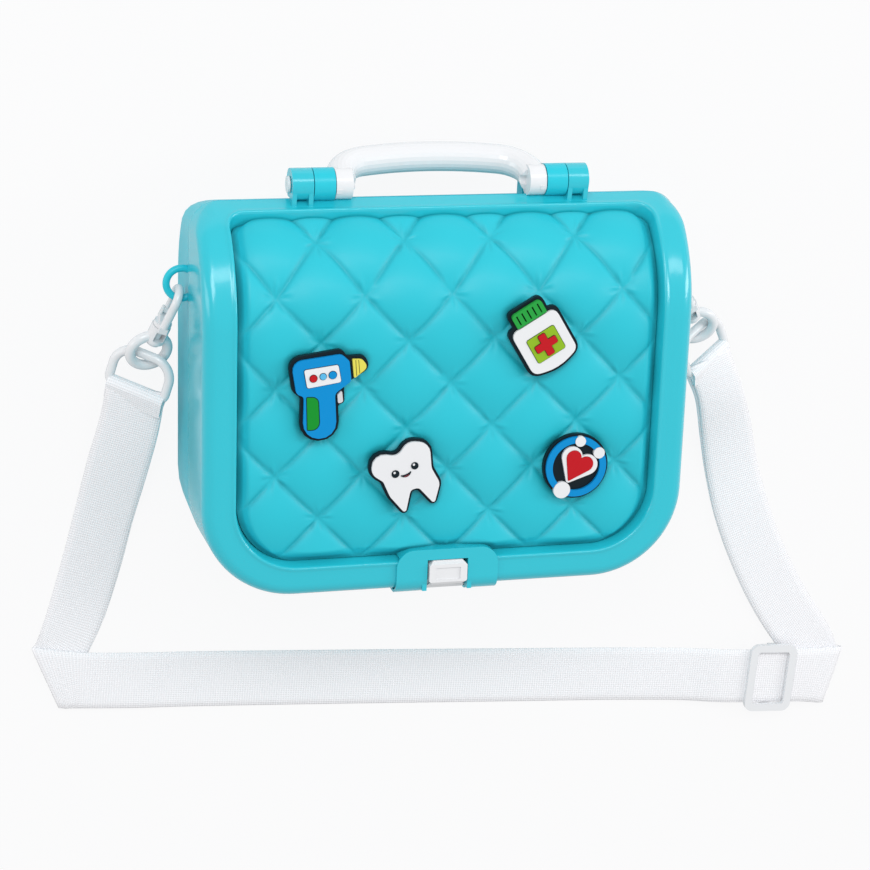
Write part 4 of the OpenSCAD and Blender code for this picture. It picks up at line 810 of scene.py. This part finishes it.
def crescent(grow, r=3.2, spread=62):
    """An arc of radius r over spread degrees each way, deeper by grow at its middle."""
    t = np.linspace(-spread, spread, SMILE_POINTS)
    a = np.radians(t - 90 + SMILE_TURN)
    deep = SMILE_END + grow * (1 - (t / spread) ** 2)
    unit = np.column_stack([np.cos(a), np.sin(a)])
    return np.vstack([unit * r, (unit * (r - deep)[:, None])[::-1]]) + SMILE_AT


# middle and radius of each eye; its glint sits up and to the left of the middle
eyes = ((-6.8, 1.6, 1.95), (2.6, 5.3, 1.85))
GLINT_X, GLINT_Y, GLINT_R, GLINT_POINTS = -0.5, 0.6, 0.6, 14
face = [patch("tooth_eye_%d" % i, disc(*e), FACE_TOP, MATERIAL["navy"]) for i, e in enumerate(eyes)]
face.append(patch("tooth_smile", crescent(0.95), FACE_TOP, MATERIAL["navy"]))
for obj in face:
    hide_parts("tooth_face")
for i, (x, y, _) in enumerate(eyes):
    shine = disc(x + GLINT_X, y + GLINT_Y, GLINT_R, GLINT_POINTS)
    patch("tooth_glint_%d" % i, shine, DETAIL_Z, MATERIAL["charm_white"], DETAIL_H)
patch("tooth_tongue", crescent(0.05, 3.0, 26), DETAIL_Z, MATERIAL["tongue"], DETAIL_H)

# ---------- floor and light ----------
# half the floor's side and its height, in metres
FLOOR_HALF, FLOOR_Z = 6.0, -0.0002
# the colour that the camera sees on the floor, the colour that light meets, and how much of what the
# camera sees is the first: the rest keeps the shadow
FLOOR_SEEN, FLOOR_LIT, FLOOR_KEEP, FLOOR_ROUGHNESS = (0.975, 0.975, 0.98), (0.8, 0.8, 0.8), 0.93, 0.9


def build_floor():
    corners = ((-1, -1), (1, -1), (1, 1), (-1, 1))
    obj = new_mesh("floor", [(x * FLOOR_HALF, y * FLOOR_HALF, FLOOR_Z) for x, y in corners],
                   [(0, 1, 2, 3)], smooth=False)
    mat, nodes, links, bsdf = material("floor")
    bsdf.inputs["Base Color"].default_value = (*FLOOR_LIT, 1)
    bsdf.inputs["Roughness"].default_value = FLOOR_ROUGHNESS
    glow = nodes.new("ShaderNodeEmission")
    glow.inputs["Color"].default_value = (*FLOOR_SEEN, 1)
    path = nodes.new("ShaderNodeLightPath")
    mix = nodes.new("ShaderNodeMixShader")
    keep = nodes.new("ShaderNodeMath")
    keep.operation = "MULTIPLY"
    keep.inputs[1].default_value = FLOOR_KEEP
    links.new(path.outputs["Is Camera Ray"], keep.inputs[0])
    links.new(keep.outputs[0], mix.inputs[0])
    links.new(bsdf.outputs[0], mix.inputs[1])
    links.new(glow.outputs[0], mix.inputs[2])
    links.new(mix.outputs[0], nodes["Material Output"].inputs["Surface"])
    obj.data.materials.append(mat)
    return obj


def area_light(name, at, aim, size, power, size_y=None):
    """A lamp at one point in metres that faces another; a square one has no size_y."""
    data = bpy.data.lights.new(name, "AREA")
    data.shape = "RECTANGLE"
    data.size, data.size_y = size, size_y or size
    data.energy = power
    obj = bpy.data.objects.new(name, data)
    bpy.context.scene.collection.objects.link(obj)
    obj.location = at
    obj.rotation_euler = (Vector(aim) - Vector(at)).to_track_quat("-Z", "Y").to_euler()
    return obj


WORLD_STRENGTH = 0.62
world = bpy.data.worlds.new("world")
world.use_nodes = True
sky = world.node_tree.nodes["Background"]
sky.inputs["Color"].default_value = (1, 1, 1, 1)
sky.inputs["Strength"].default_value = WORLD_STRENGTH
bpy.context.scene.world = world
lights = [
    area_light("key", (-0.6, 0.9, 1.5), (0, 0, 0), 0.7, 8),
    area_light("top", (0.2, 1.05, 1.25), (0, 0.06, 0.07), 1.5, 6.5, 0.35),
    area_light("side", (1.5, 0.3, 0.8), (0, 0, 0.03), 0.4, 8, 1.0),
    area_light("left", (-1.6, 0.2, 0.5), (0, 0, 0.03), 0.4, 3, 1.0),
]
build_floor()
bpy.context.scene.view_settings.view_transform = "Standard"

write_size()
